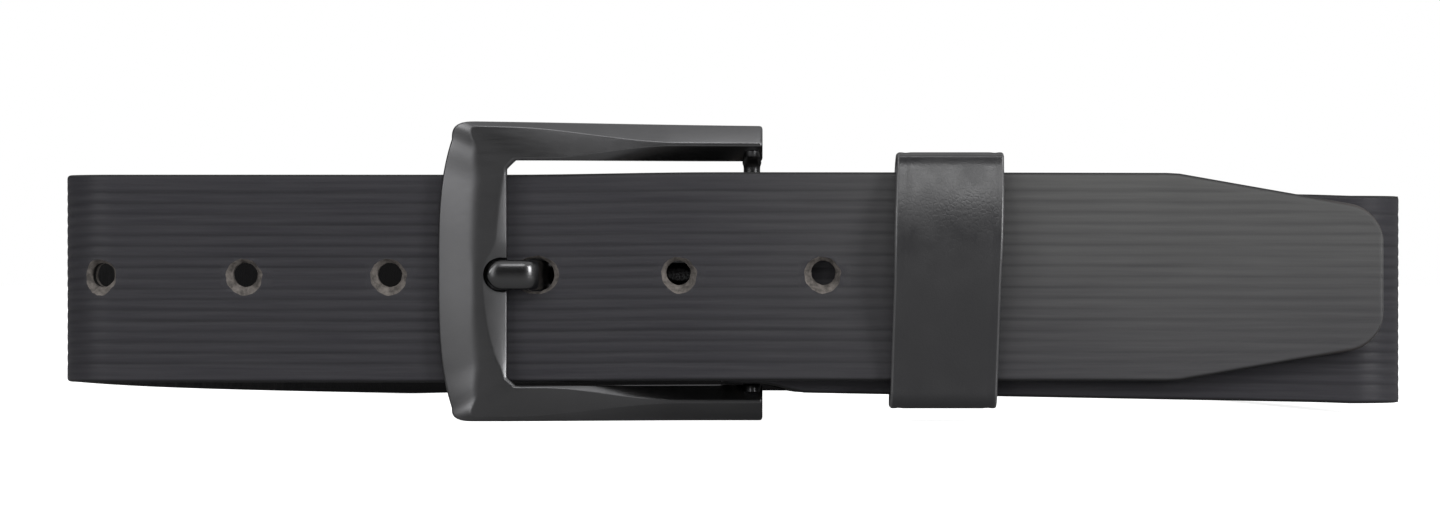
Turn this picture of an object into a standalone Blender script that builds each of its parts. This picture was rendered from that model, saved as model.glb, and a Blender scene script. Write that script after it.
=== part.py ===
"""Leather belt with a pin buckle, fastened and standing on its lower edge.

+X runs along the front towards the billet's tip, +Y goes back through the loop, +Z is up.
The origin lies under the middle of the loop, on the surface that the belt stands on.
All sizes below are in millimetres; they become metres where a mesh is made.
"""

import math

import bpy
from mathutils import Matrix, Vector

MM = 0.001

# Strap: three plies glued together, the face outwards
STRAP_WIDTH = 35.0
FACE_T = 1.4
CORE_T = 1.0
LINING_T = 1.0
GLUE_GAP = 0.1
SEAT_GAP = 0.3

# Loop seen from above
FRONT_HALF = 112.2
CORNER_R = 9.0
LOOP_REACH = 262.0
LOOP_SQUARENESS = 2.5
LOOP_STEP = 11.0
CURVE_STEPS = 8
SIDE_BAR_STEPS = 12

# Buckle
HINGE_X = 3.2
BAR_R = 1.4
BAR_CLEARANCE = 0.3
WINDOW_CLEARANCE = 1.7
SIDE_BAR_WIDTH = 6.0
SIDE_BAR_END_WIDTH = 5.4
WINDOW_LENGTH = 41.2
WINDOW_CORNER_R = 3.2
FRONT_BAR_WIDTH = 11.6
FRONT_BAR_BOW = 2.8
FRONT_BAR_T = 3.0
FRONT_BAR_GAP = 0.5
FRAME_CORNER_R = 5.0
EAR_WALL = 0.5
EAR_LENGTH = 2.2
END_SKIN = 0.1
FACET_SHARE = 0.45
FACET_DROP = 1.2
INNER_CHAMFER = 0.6
BAR_SEAT_DEPTH = 3.6

# Prong
PRONG_W = 5.0
PRONG_T = 2.2
PRONG_BEND_R = 2.6
PRONG_BEND = math.radians(68)
BEND_STEPS = 5
TIP_ROUND_ANGLE = math.radians(85)
TIP_THINNING = 0.45
PRONG_SIDES = 12
PRONG_SQUARENESS = 0.6
PRONG_TIP_REACH = 3.3
PRONG_REST_INSET = 2.1
PRONG_EYE_WALL = 1.3
PRONG_EYE_OVERLAP = 1.2
PRONG_ROUND = 2.5
PRONG_SHANK_STEP = 6.0
NOTCH_DEPTH = 1.5
NOTCH_REACH = 4.2
NOTCH_CLEARANCE = 0.5
SHANK_Y = -0.5

# Flap behind the buckle and its two screw studs
FLAP_LENGTH = 21.3
FLAP_EASE = 9.5
SLOT_REACH = 6.5
SLOT_CLEARANCE = 0.4
STUD_X = 17.2
STUD_SPREAD = 9.5
STUD_CAP_R = 4.0
STUD_CAP_T = 0.6
STUD_CAP_SUNK = 0.1
STUD_HEAD_T = 1.2
STUD_BARREL_R = 2.0
STUD_SCREW_R = 1.1
STUD_SCREW_SHORT = 0.9

# Billet: the punched end, which lies on top
HOLE_COUNT = 6
HOLE_PITCH = 24.35
HOLE_R = 2.15
PIN_HOLE = 3
PIN_HOLE_INSET = 4.45
PIN_HOLE_RUN = 1.8
PIN_HOLE_STRETCH = 1.1
RISE_TO_HINGE = 6.2
TIP_SETBACK = 3.0
TAPER_LENGTH = 34.9
TIP_TAPER = 6.1
TIP_R = 5.5

# Keeper
KEEPER_X = 36.5
KEEPER_WIDTH = 18.5
KEEPER_T = 1.3
KEEPER_EDGE_EASE = 1.8
KEEPER_CORNER_R = 1.2
KEEPER_LEAN = math.radians(3.0)
KEEPER_CLEARANCE = 0.4
KEEPER_BUTT = 0.4
STAPLE_WIRE = 0.7
STAPLE_SPAN = 6.0
STAPLE_LEG_INSET = 0.1

# How far the strap's middle hangs below the buckle's, and how far its right end is off the ground
HINGE_DROP = 1.4
LEFT_DROP = 1.2
BILLET_DROP = 0.6
RIGHT_LIFT = 3.2
BACK_LEVEL_SHARE = 0.25

# Spacing of the stations along each stretch, and other drawing steps
FLAP_STEP = 1.2
RUN_STEP = 12.0
RISE_STEP = 2.5
TAPER_STEP = 8.0
LOOP_SAMPLES = 400
ROUND = 24
BREAK = 0.2
OVERCUT = 2.0

# Levels from front to back, counted from the hinge bar's axis
STRAP_T = FACE_T + CORE_T + LINING_T + 2 * GLUE_GAP
FOLD_R = BAR_R + BAR_CLEARANCE + STRAP_T
RUN_FACE_Y = -FOLD_R
RUN_BACK_Y = RUN_FACE_Y + STRAP_T
BILLET_FACE_Y = RUN_FACE_Y - SEAT_GAP - STRAP_T
FRONT_BAR_BACK_Y = RUN_FACE_Y - FRONT_BAR_GAP
FRONT_BAR_FACE_Y = FRONT_BAR_BACK_Y - FRONT_BAR_T
KEEPER_FACE_Y = BILLET_FACE_Y - KEEPER_CLEARANCE - KEEPER_T
BACK_Y = RUN_FACE_Y + CORNER_R + LOOP_REACH
MIDDLE_Y = (KEEPER_FACE_Y + BACK_Y) / 2

# Buckle and billet, from the strap's width and the hinge bar
WINDOW_HALF_HEIGHT = STRAP_WIDTH / 2 + WINDOW_CLEARANCE
FRAME_HALF_HEIGHT = WINDOW_HALF_HEIGHT + SIDE_BAR_WIDTH
FRAME_END_HALF_HEIGHT = WINDOW_HALF_HEIGHT + SIDE_BAR_END_WIDTH
WINDOW_LEFT_X = HINGE_X - WINDOW_LENGTH
EAR_T = 2 * (BAR_R + SEAT_GAP + EAR_WALL)
EAR_X = HINGE_X - EAR_LENGTH
FRAME_END_X = HINGE_X + BAR_R + SEAT_GAP + END_SKIN
PRONG_REST_X = WINDOW_LEFT_X + PRONG_REST_INSET
PIN_HOLE_X = WINDOW_LEFT_X + PIN_HOLE_INSET
RISE_START_X = WINDOW_LEFT_X
RISE_END_X = HINGE_X - RISE_TO_HINGE
TIP_X = FRONT_HALF - TIP_SETBACK
TAPER_X = TIP_X - TAPER_LENGTH

# Heights of the buckle's middle and of the strap's middle round the loop
FRAME_MIDDLE_Z = FRAME_HALF_HEIGHT
Z_HINGE = FRAME_MIDDLE_Z - HINGE_DROP
Z_LEFT = FRAME_MIDDLE_Z - LEFT_DROP
Z_BILLET = FRAME_MIDDLE_Z - BILLET_DROP
Z_RIGHT = STRAP_WIDTH / 2 + RIGHT_LIFT
Z_BACK = STRAP_WIDTH / 2

PLIES = {
    "face": (0.0, FACE_T),
    "core": (FACE_T + GLUE_GAP, FACE_T + GLUE_GAP + CORE_T),
    "lining": (STRAP_T - LINING_T, STRAP_T),
}


def smooth(t):
    """Ease from 0 to 1 with level ends."""
    t = min(max(t, 0.0), 1.0)
    return t * t * (3 - 2 * t)


def mix(a, b, t):
    return a + (b - a) * t


def world(x, y, z):
    """A point in the part's own frame, in metres."""
    return (x * MM, (y - MIDDLE_Y) * MM, z * MM)


def material(name, colour, metallic, roughness):
    made = bpy.data.materials.new(name)
    made.use_nodes = True
    shader = made.node_tree.nodes["Principled BSDF"]
    shader.inputs["Base Color"].default_value = (*colour, 1.0)
    shader.inputs["Metallic"].default_value = metallic
    shader.inputs["Roughness"].default_value = roughness
    return made


def add_mesh(name, verts, faces, finish):
    mesh = bpy.data.meshes.new(name)
    mesh.from_pydata([world(*v) for v in verts], [], faces)
    mesh.validate()
    mesh.update()
    mesh.materials.append(material(name, *finish))
    mesh.shade_smooth()
    mesh.set_sharp_from_angle(angle=math.radians(30))
    obj = bpy.data.objects.new(name, mesh)
    bpy.context.scene.collection.objects.link(obj)
    return obj


def swept(name, sections, finish):
    """Solid through equal sections, each a list of points in the same turning sense."""
    size = len(sections[0])
    verts = [point for section in sections for point in section]
    count = len(sections)
    faces = []
    for i in range(count - 1):
        for k in range(size):
            m = (k + 1) % size
            low, high = i * size, (i + 1) * size
            faces.append((low + k, low + m, high + m, high + k))
    faces.append(tuple(reversed(range(size))))
    faces.append(tuple((count - 1) * size + k for k in range(size)))
    return add_mesh(name, verts, faces, finish)


def turned(name, profile, centre, finish, axis="Y"):
    """Solid of revolution from (radius, place along the axis) points, with flat ends."""
    rings = []
    for radius, along in profile:
        ring = []
        for k in range(ROUND):
            a = 2 * math.pi * k / ROUND
            u, v = radius * math.cos(a), radius * math.sin(a)
            if axis == "Y":
                ring.append((centre[0] + v, along, centre[1] + u))
            else:
                ring.append((centre[0] + u, centre[1] + v, along))
        rings.append(ring)
    return swept(name, rings, finish)


def cutter(obj):
    obj.hide_render = True
    obj.display_type = "WIRE"
    return obj


def cut_away(obj, tool, operation="DIFFERENCE"):
    """Boolean of obj with a tool that isn't part of the object."""
    made = obj.modifiers.new(tool.name, "BOOLEAN")
    made.operation = operation
    made.solver = "EXACT"
    made.object = cutter(tool)


def bored(obj, name, x, z, radius, low_y, high_y, length=0.0):
    """Round hole along Y, or a slot when a length is given."""
    reach = max(length / 2 - radius, 0.0)
    outline = []
    for k in range(ROUND):
        a = 2 * math.pi * k / ROUND
        side = reach if math.cos(a) >= 0 else -reach
        outline.append((side + radius * math.cos(a), radius * math.sin(a)))
    sections = [[(x + u, y, z + v) for u, v in outline] for y in (high_y, low_y)]
    cut_away(obj, swept(name, sections, DARK))


def hang(objects, x, y):
    """Parent a moving body's pieces to an empty on its joint's axis."""
    pivot = bpy.data.objects.new(objects[0].name + "_axis", None)
    pivot.location = world(x, y, 0.0)
    bpy.context.scene.collection.objects.link(pivot)
    place = Matrix.Translation(Vector(pivot.location))
    for obj in objects:
        obj.parent = pivot
        obj.matrix_parent_inverse = place.inverted()


LEATHER = ((0.045, 0.044, 0.047), 0.0, 0.55)
CORE = ((0.16, 0.15, 0.145), 0.0, 0.85)
LINING = ((0.03, 0.03, 0.03), 0.0, 0.7)
KEEPER_LEATHER = ((0.05, 0.05, 0.054), 0.0, 0.38)
GUNMETAL = ((0.09, 0.09, 0.10), 1.0, 0.38)
STEEL = ((0.35, 0.35, 0.36), 1.0, 0.35)
DARK = ((0.02, 0.02, 0.02), 0.0, 0.6)
PLY_FINISH = {"face": LEATHER, "core": CORE, "lining": LINING}


# ---- strap line -------------------------------------------------------------------------


def run_z(x):
    """Height of the buckle end's middle, which sinks towards the right."""
    return mix(Z_HINGE, Z_RIGHT, (x - HINGE_X) / (FRONT_HALF - CORNER_R - HINGE_X))


def flap_gap(x):
    """Space between the strap and the flap folded behind it."""
    at_bar = 2 * (BAR_R + BAR_CLEARANCE)
    return mix(at_bar, SEAT_GAP, smooth((x - HINGE_X) / FLAP_EASE))


def spread(low, high, step):
    count = max(1, round(abs(high - low) / step))
    return [mix(low, high, k / count) for k in range(count + 1)]


def arc(cx, cy, radius, start, end, steps=CURVE_STEPS):
    points = []
    for a in spread(start, end, (end - start) / steps):
        points.append((cx + radius * math.cos(a), cy + radius * math.sin(a)))
    return points


def quarter_loop():
    """Right half of the loop behind the corners: an even-spaced quarter of a superellipse."""
    fine = []
    power = 2 / LOOP_SQUARENESS
    for k in range(LOOP_SAMPLES + 1):
        a = math.pi / 2 * k / LOOP_SAMPLES
        x = FRONT_HALF * max(math.cos(a), 0.0) ** power
        fine.append((x, LOOP_REACH * math.sin(a) ** power))
    fine[-1] = (0.0, LOOP_REACH)
    lengths = [0.0]
    for p, q in zip(fine, fine[1:]):
        lengths.append(lengths[-1] + math.dist(p, q))
    points = []
    index = 0
    for place in spread(0.0, lengths[-1], LOOP_STEP):
        while index < len(fine) - 2 and lengths[index + 1] < place:
            index += 1
        t = (place - lengths[index]) / (lengths[index + 1] - lengths[index])
        here, after = fine[index], fine[index + 1]
        points.append((mix(here[0], after[0], t), mix(here[1], after[1], t)))
    return points


def tip_half(x):
    """Half the billet's width at x: it tapers and ends in rounded corners."""
    half = STRAP_WIDTH / 2 - TIP_TAPER * max(0.0, (x - TAPER_X) / TAPER_LENGTH)
    into = max(0.0, x - (TIP_X - TIP_R))
    return half - (TIP_R - math.sqrt(max(TIP_R**2 - into**2, 0.0)))


def billet_rise(x):
    return smooth((x - RISE_START_X) / (RISE_END_X - RISE_START_X))


def belt_line():
    """Outer face of the whole strap, counter-clockwise from the flap's end to the billet's tip.

    Each station is [x, y, height of the middle, half width]; marks name the ends of stretches.
    """
    half = STRAP_WIDTH / 2
    corner_x = FRONT_HALF - CORNER_R
    corner_y = RUN_FACE_Y + CORNER_R
    loop = quarter_loop()
    stations = []
    marks = {}

    def add(points, name):
        for x, y, z, w in points:
            if not stations or math.dist(stations[-1][:2], (x, y)) > 1e-6:
                stations.append([x, y, z, w])
        marks[name] = len(stations) - 1

    flap = []
    for x in spread(HINGE_X + FLAP_LENGTH, HINGE_X, FLAP_STEP):
        flap.append((x, RUN_BACK_Y + flap_gap(x) + STRAP_T, run_z(x), half))
    add(flap, "flap")
    fold = arc(HINGE_X, 0.0, FOLD_R, math.pi / 2, 3 * math.pi / 2, ROUND // 2)
    add([(x, y, Z_HINGE, half) for x, y in fold], "fold")
    add([(x, RUN_FACE_Y, run_z(x), half) for x in spread(HINGE_X, corner_x, RUN_STEP)], "run")
    right = arc(corner_x, corner_y, CORNER_R, -math.pi / 2, 0.0)
    add([(x, y, Z_RIGHT, half) for x, y in right], "right_corner")
    count = len(loop) - 1
    back = []
    for k, (x, y) in enumerate(loop):
        sunk = smooth(k / count / (1 - BACK_LEVEL_SHARE))
        back.append((x, corner_y + y, mix(Z_RIGHT, Z_BACK, sunk), half))
    add(back, "back")
    side = []
    for k, (x, y) in enumerate(reversed(loop)):
        sunk = smooth((1 - k / count) / (1 - BACK_LEVEL_SHARE))
        side.append((-x, corner_y + y, mix(Z_LEFT, Z_BACK, sunk), half))
    add(side, "side")
    left = arc(-corner_x, corner_y, CORNER_R, math.pi, 3 * math.pi / 2)
    add([(x, y, Z_LEFT, half) for x, y in left], "left_corner")
    places = spread(-corner_x, RISE_START_X, RUN_STEP)
    places += spread(RISE_START_X, RISE_END_X, RISE_STEP) + spread(RISE_END_X, TAPER_X, RUN_STEP)
    places += spread(TAPER_X, TIP_X - TIP_R, TAPER_STEP)
    for k in range(1, CURVE_STEPS + 1):
        places.append(TIP_X - TIP_R + TIP_R * math.sin(math.pi / 2 * k / CURVE_STEPS))
    billet = []
    for x in places:
        t = billet_rise(x)
        y, z = mix(RUN_FACE_Y, BILLET_FACE_Y, t), mix(Z_LEFT, Z_BILLET, t)
        billet.append((x, y, z, tip_half(x)))
    add(billet, "billet")
    return stations, marks


def with_normals(stations):
    """Add each station's outward direction, to the right of travel."""
    made = []
    for k, (x, y, z, w) in enumerate(stations):
        before = stations[max(k - 1, 0)]
        after = stations[min(k + 1, len(stations) - 1)]
        ways = []
        for p, q in ((before, (x, y)), ((x, y), after)):
            length = math.dist(p[:2], q[:2])
            if length > 1e-9:
                ways.append(((q[0] - p[0]) / length, (q[1] - p[1]) / length))
        tx, ty = sum(w[0] for w in ways), sum(w[1] for w in ways)
        length = math.hypot(tx, ty)
        made.append((x, y, z, w, ty / length, -tx / length))
    return made


def trimmed(stations, start, end):
    """Stations without half a seat gap at each end that faces a neighbour."""
    kept = list(stations)
    for flag, a, b in ((start, 0, 1), (end, -1, -2)):
        if flag:
            p, q = kept[a], kept[b]
            t = SEAT_GAP / 2 / math.dist(p[:2], q[:2])
            kept[a] = tuple(mix(u, v, t) for u, v in zip(p, q))
    return kept


def ply(name, stations, layer):
    """One layer of a stretch of strap, between two depths under the outer face."""
    sections = []
    for x, y, z, w, nx, ny in stations:
        corners = []
        for depth, side in ((layer[0], 1), (layer[0], -1), (layer[1], -1), (layer[1], 1)):
            corners.append((x - nx * depth, y - ny * depth, z + side * w))
        sections.append(corners)
    return swept(name, sections, PLY_FINISH[name.rsplit("_", 1)[1]])


def stud_heights():
    return {"upper": run_z(STUD_X) + STUD_SPREAD, "lower": run_z(STUD_X) - STUD_SPREAD}


def buckle_end(stations):
    """The strap's buckle end in three plies, slotted for the prong and bored for the studs."""
    for layer, depths in PLIES.items():
        obj = ply("buckle_end_" + layer, stations, depths)
        slot_r = PRONG_W / 2 + SLOT_CLEARANCE
        low_x = HINGE_X - FOLD_R - OVERCUT
        high_x = HINGE_X + SLOT_REACH
        bored(obj, "slot_" + layer, (low_x + high_x) / 2, Z_LEFT, slot_r,
              -FOLD_R - OVERCUT, FOLD_R + OVERCUT, high_x - low_x)
        for place, z in stud_heights().items():
            name = place + "_bore_" + layer
            low_y, high_y = -FOLD_R - OVERCUT, FOLD_R + OVERCUT
            bored(obj, name, STUD_X, z, STUD_BARREL_R + SEAT_GAP, low_y, high_y)
            if layer == "face":
                floor_y = RUN_FACE_Y + STUD_CAP_T + SEAT_GAP
                bored(obj, place + "_recess", STUD_X, z, STUD_CAP_R + SEAT_GAP,
                      RUN_FACE_Y - OVERCUT, floor_y)


def side_strap(stations):
    for layer, depths in PLIES.items():
        ply("side_" + layer, stations, depths)


def billet(stations):
    """The punched end in three plies; the hole in use is stretched to take the prong."""
    for layer, depths in PLIES.items():
        obj = ply("billet_" + layer, stations, depths)
        for k in range(HOLE_COUNT):
            x = PIN_HOLE_X + (k - PIN_HOLE) * HOLE_PITCH
            z = mix(Z_LEFT, Z_BILLET, billet_rise(x))
            radius = HOLE_R
            length = 0.0
            if k == PIN_HOLE:
                x += PIN_HOLE_STRETCH
                radius = PRONG_W / 2 + SEAT_GAP
                length = 2 * radius + PIN_HOLE_RUN
            low_y = BILLET_FACE_Y - OVERCUT
            high_y = RUN_BACK_Y + CORNER_R / 2
            bored(obj, f"hole_{k + 1}_{layer}", x, z, radius, low_y, high_y, length)


# ---- buckle -----------------------------------------------------------------------------


def frame_rail():
    """Pairs of outer and inner points from the upper ear round the front bar to the lower ear."""
    pairs = []
    outer_corner_x = WINDOW_LEFT_X - FRONT_BAR_WIDTH + FRONT_BAR_BOW + FRAME_CORNER_R
    inner_corner_x = WINDOW_LEFT_X + WINDOW_CORNER_R
    corner_half = FRAME_HALF_HEIGHT - FRAME_CORNER_R
    window_half = WINDOW_HALF_HEIGHT - WINDOW_CORNER_R
    for t in spread(0.0, 1.0, 1 / SIDE_BAR_STEPS):
        outer_half = mix(FRAME_END_HALF_HEIGHT, FRAME_HALF_HEIGHT, t)
        outer = (mix(FRAME_END_X, outer_corner_x, t), outer_half)
        pairs.append((outer, (mix(FRAME_END_X, inner_corner_x, t), WINDOW_HALF_HEIGHT)))
    for k in range(1, CURVE_STEPS):
        a = math.pi / 2 * k / CURVE_STEPS
        left, up = math.sin(a), math.cos(a)
        outer = (outer_corner_x - FRAME_CORNER_R * left, corner_half + FRAME_CORNER_R * up)
        inner = (inner_corner_x - WINDOW_CORNER_R * left, window_half + WINDOW_CORNER_R * up)
        pairs.append((outer, inner))
    for t in spread(1.0, 0.0, 1 / CURVE_STEPS):
        bowed = WINDOW_LEFT_X - FRONT_BAR_WIDTH + FRONT_BAR_BOW * t * t
        pairs.append(((bowed, corner_half * t), (WINDOW_LEFT_X, window_half * t)))
    lower = [((ox, -oz), (ix, -iz)) for (ox, oz), (ix, iz) in reversed(pairs[:-1])]
    return pairs + lower


def frame_levels(x):
    """Front and back of the frame at x: it rises from the hinge bar to the front bar."""
    t = smooth((EAR_X - x) / (EAR_X - WINDOW_LEFT_X))
    return mix(-EAR_T / 2, FRONT_BAR_FACE_Y, t), mix(EAR_T / 2, FRONT_BAR_BACK_Y, t)


def buckle_frame():
    """Cast frame, open on the hinge side, with a faceted outer edge and a notch for the prong."""
    sections = []
    for outer, inner in frame_rail():
        width = math.dist(outer, inner)
        section = []
        for share, drop, on_back in (
            (0.0, 0.0, True),
            (0.0, INNER_CHAMFER, False),
            (INNER_CHAMFER / width, 0.0, False),
            (1 - FACET_SHARE, 0.0, False),
            (1.0, FACET_DROP, False),
            (1.0, 0.0, True),
        ):
            x, z = mix(inner[0], outer[0], share), mix(inner[1], outer[1], share)
            front, back = frame_levels(x)
            section.append((x, back if on_back else front + drop, FRAME_MIDDLE_Z + z))
        sections.append(section)
    frame = swept("buckle_frame", sections, GUNMETAL)
    floor_y = FRONT_BAR_FACE_Y + NOTCH_DEPTH
    notch_r = PRONG_W / 2 + NOTCH_CLEARANCE
    notch_left = WINDOW_LEFT_X - NOTCH_REACH
    notch_right = WINDOW_LEFT_X + OVERCUT * 2
    bored(frame, "prong_notch", (notch_left + notch_right) / 2, Z_LEFT, notch_r,
          FRONT_BAR_FACE_Y - OVERCUT, floor_y, notch_right - notch_left)
    low = FRAME_MIDDLE_Z - WINDOW_HALF_HEIGHT - BAR_SEAT_DEPTH
    high = FRAME_MIDDLE_Z + WINDOW_HALF_HEIGHT + BAR_SEAT_DEPTH
    seat_r = BAR_R + SEAT_GAP
    seat = turned("bar_seats", [(seat_r, low), (seat_r, high)], (HINGE_X, 0.0), DARK, "Z")
    cut_away(frame, seat)
    bar = turned("hinge_bar", [
        (BAR_R - BREAK, low + SEAT_GAP), (BAR_R, low + SEAT_GAP + BREAK),
        (BAR_R, high - SEAT_GAP - BREAK), (BAR_R - BREAK, high - SEAT_GAP),
    ], (HINGE_X, 0.0), STEEL, "Z")
    return frame, bar


def prong_line():
    """Middle of the prong in plan, from its eye to its tip, with the heading at each point."""
    notch_floor = FRONT_BAR_FACE_Y + NOTCH_DEPTH
    tip_y = notch_floor - SEAT_GAP - PRONG_T / 2
    rise = SHANK_Y - tip_y
    turn_rise = PRONG_BEND_R * (1 - math.cos(PRONG_BEND))
    turn_run = PRONG_BEND_R * math.sin(PRONG_BEND)
    slope = (rise - 2 * turn_rise) / math.sin(PRONG_BEND)
    lower_x = PRONG_REST_X + 2 * turn_run + slope * math.cos(PRONG_BEND)
    eye_x = HINGE_X - BAR_R - PRONG_EYE_OVERLAP
    points = [(x, SHANK_Y, 0.0) for x in spread(eye_x, lower_x, PRONG_SHANK_STEP)]
    for k in range(1, BEND_STEPS + 1):
        a = PRONG_BEND * k / BEND_STEPS
        run, drop = PRONG_BEND_R * math.sin(a), PRONG_BEND_R * (1 - math.cos(a))
        points.append((lower_x - run, SHANK_Y - drop, a))
    for k in range(1, BEND_STEPS + 1):
        a = PRONG_BEND * (1 - k / BEND_STEPS)
        run, drop = PRONG_BEND_R * math.sin(a), PRONG_BEND_R * (1 - math.cos(a))
        points.append((PRONG_REST_X + run, tip_y + drop, a))
    tip_x = WINDOW_LEFT_X - PRONG_TIP_REACH
    points.append((tip_x + PRONG_ROUND, tip_y, 0.0))
    for k in range(1, BEND_STEPS + 1):
        a = TIP_ROUND_ANGLE * k / BEND_STEPS
        points.append((tip_x + PRONG_ROUND * (1 - math.sin(a)), tip_y, 0.0))
    return points, tip_x


def prong():
    """Bent prong with a closed eye round the hinge bar."""
    points, tip_x = prong_line()
    sections = []
    for x, y, a in points:
        into = max(0.0, (tip_x + PRONG_ROUND - x) / PRONG_ROUND)
        shrink = math.sqrt(max(1 - into**2, 0.0))
        half_w = PRONG_W / 2 * shrink
        half_t = PRONG_T / 2 * mix(TIP_THINNING, 1.0, shrink)
        section = []
        for k in range(PRONG_SIDES):
            b = 2 * math.pi * (k + 0.5) / PRONG_SIDES
            across = half_w * math.copysign(abs(math.cos(b)) ** PRONG_SQUARENESS, math.cos(b))
            deep = half_t * math.copysign(abs(math.sin(b)) ** PRONG_SQUARENESS, math.sin(b))
            section.append((x - deep * math.sin(a), y + deep * math.cos(a), Z_LEFT + across))
        sections.append(section)
    obj = swept("prong", sections, GUNMETAL)
    bore_r = BAR_R + BAR_CLEARANCE
    eye_r = bore_r + PRONG_EYE_WALL
    low, high = Z_LEFT - PRONG_W / 2, Z_LEFT + PRONG_W / 2
    eye = turned("prong_eye", [(eye_r, low), (eye_r, high)], (HINGE_X, 0.0), DARK, "Z")
    cut_away(obj, eye, "UNION")
    low, high = low - OVERCUT, high + OVERCUT
    bore = turned("eye_bore", [(bore_r, low), (bore_r, high)], (HINGE_X, 0.0), DARK, "Z")
    cut_away(obj, bore)
    return obj


def studs():
    """Two screw studs that hold the flap: a sunk cap in front, a barrel with a domed head behind."""
    flap_y = RUN_BACK_Y + flap_gap(STUD_X) + STRAP_T
    cap_y = RUN_FACE_Y + STUD_CAP_SUNK
    barrel_y = cap_y + STUD_CAP_T + SEAT_GAP
    head_y = flap_y + SEAT_GAP
    bore_r = STUD_SCREW_R + SEAT_GAP
    screw_end = head_y - STUD_SCREW_SHORT
    for place, z in stud_heights().items():
        turned(place + "_stud_cap", [
            (STUD_CAP_R - BREAK, cap_y), (STUD_CAP_R, cap_y + BREAK),
            (STUD_CAP_R, cap_y + STUD_CAP_T), (STUD_SCREW_R, cap_y + STUD_CAP_T),
            (STUD_SCREW_R, screw_end),
        ], (STUD_X, z), STEEL)
        turned(place + "_stud_post", [
            (bore_r, screw_end + SEAT_GAP), (bore_r, barrel_y),
            (STUD_BARREL_R, barrel_y), (STUD_BARREL_R, head_y), (STUD_CAP_R, head_y),
            (STUD_CAP_R, head_y + 0.5 * STUD_HEAD_T), (0.7 * STUD_CAP_R, head_y + 0.9 * STUD_HEAD_T),
            (0.3 * STUD_CAP_R, head_y + STUD_HEAD_T),
        ], (STUD_X, z), STEEL)


# ---- keeper -----------------------------------------------------------------------------


def keeper_ring():
    """Outer and inner points of the keeper in the Y-Z plane, from the butt joint round to it."""
    front = BILLET_FACE_Y - KEEPER_CLEARANCE
    back = RUN_BACK_Y + KEEPER_CLEARANCE
    low = run_z(KEEPER_X) - STRAP_WIDTH / 2 - KEEPER_EDGE_EASE
    high = Z_BILLET + STRAP_WIDTH / 2 + KEEPER_EDGE_EASE
    middle = (low + high) / 2
    r = KEEPER_CORNER_R
    inner = [(back, middle - KEEPER_BUTT / 2)]
    normals = [(1.0, 0.0)]
    corners = (
        (back - r, low + r, 0.0), (front + r, low + r, -math.pi / 2),
        (front + r, high - r, -math.pi), (back - r, high - r, -1.5 * math.pi),
    )
    for cy, cz, start in corners:
        for k in range(CURVE_STEPS // 2 + 1):
            a = start - math.pi / 2 * k / (CURVE_STEPS // 2)
            inner.append((cy + r * math.cos(a), cz + r * math.sin(a)))
            normals.append((math.cos(a), math.sin(a)))
    inner.append((back, middle + KEEPER_BUTT / 2))
    normals.append((1.0, 0.0))
    outer = [(y + KEEPER_T * ny, z + KEEPER_T * nz) for (y, z), (ny, nz) in zip(inner, normals)]
    return outer, inner, middle, back + KEEPER_T


def keeper():
    """Leather loop, its ends butted behind the strap and held by a staple."""
    outer, inner, middle, back = keeper_ring()
    sections = []
    for (oy, oz), (iy, iz) in zip(outer, inner):
        section = []
        for side, y, z in ((1, oy, oz), (1, iy, iz), (-1, iy, iz), (-1, oy, oz)):
            lean = (z - middle) * math.tan(KEEPER_LEAN)
            section.append((KEEPER_X + side * KEEPER_WIDTH / 2 + lean, y, z))
        sections.append(section)
    band = swept("keeper_band", sections, KEEPER_LEATHER)
    leg_r = STAPLE_WIRE / math.sqrt(2) + SEAT_GAP
    for side, name in ((-1, "lower"), (1, "upper")):
        bored(band, name + "_staple_hole", KEEPER_X, middle + side * STAPLE_SPAN / 2, leg_r,
              back - KEEPER_T - OVERCUT / 2, back + OVERCUT / 2)
    half = STAPLE_WIRE / 2
    crown_y = back + SEAT_GAP + half
    leg_y = back - KEEPER_T + STAPLE_LEG_INSET
    span = STAPLE_SPAN / 2
    route = [(leg_y, -span, 0.0), (crown_y, -span, 0.25), (crown_y, span, 0.75), (leg_y, span, 1.0)]
    sections = []
    for y, z, turn in route:
        a = math.pi * turn
        dy, dz = half * math.sin(a), -half * math.cos(a)
        grow = math.sqrt(2) if turn in (0.25, 0.75) else 1.0
        section = []
        for side, out in ((-1, -1), (1, -1), (1, 1), (-1, 1)):
            section.append((KEEPER_X + side * half, y + out * dy * grow, middle + z + out * dz * grow))
        sections.append(section)
    staple = swept("keeper_staple", sections, STEEL)
    return band, staple


def main():
    for obj in list(bpy.data.objects):
        bpy.data.objects.remove(obj)
    line, marks = belt_line()
    stations = with_normals(line)
    buckle_end(trimmed(stations[: marks["back"] + 1], False, True))
    side_strap(trimmed(stations[marks["back"] : marks["side"] + 1], True, True))
    billet(trimmed(stations[marks["side"] :], True, False))
    studs()
    hang(buckle_frame(), HINGE_X, 0.0)
    hang([prong()], HINGE_X, 0.0)
    hang(keeper(), KEEPER_X, BILLET_FACE_Y)


main()
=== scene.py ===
import math

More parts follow.
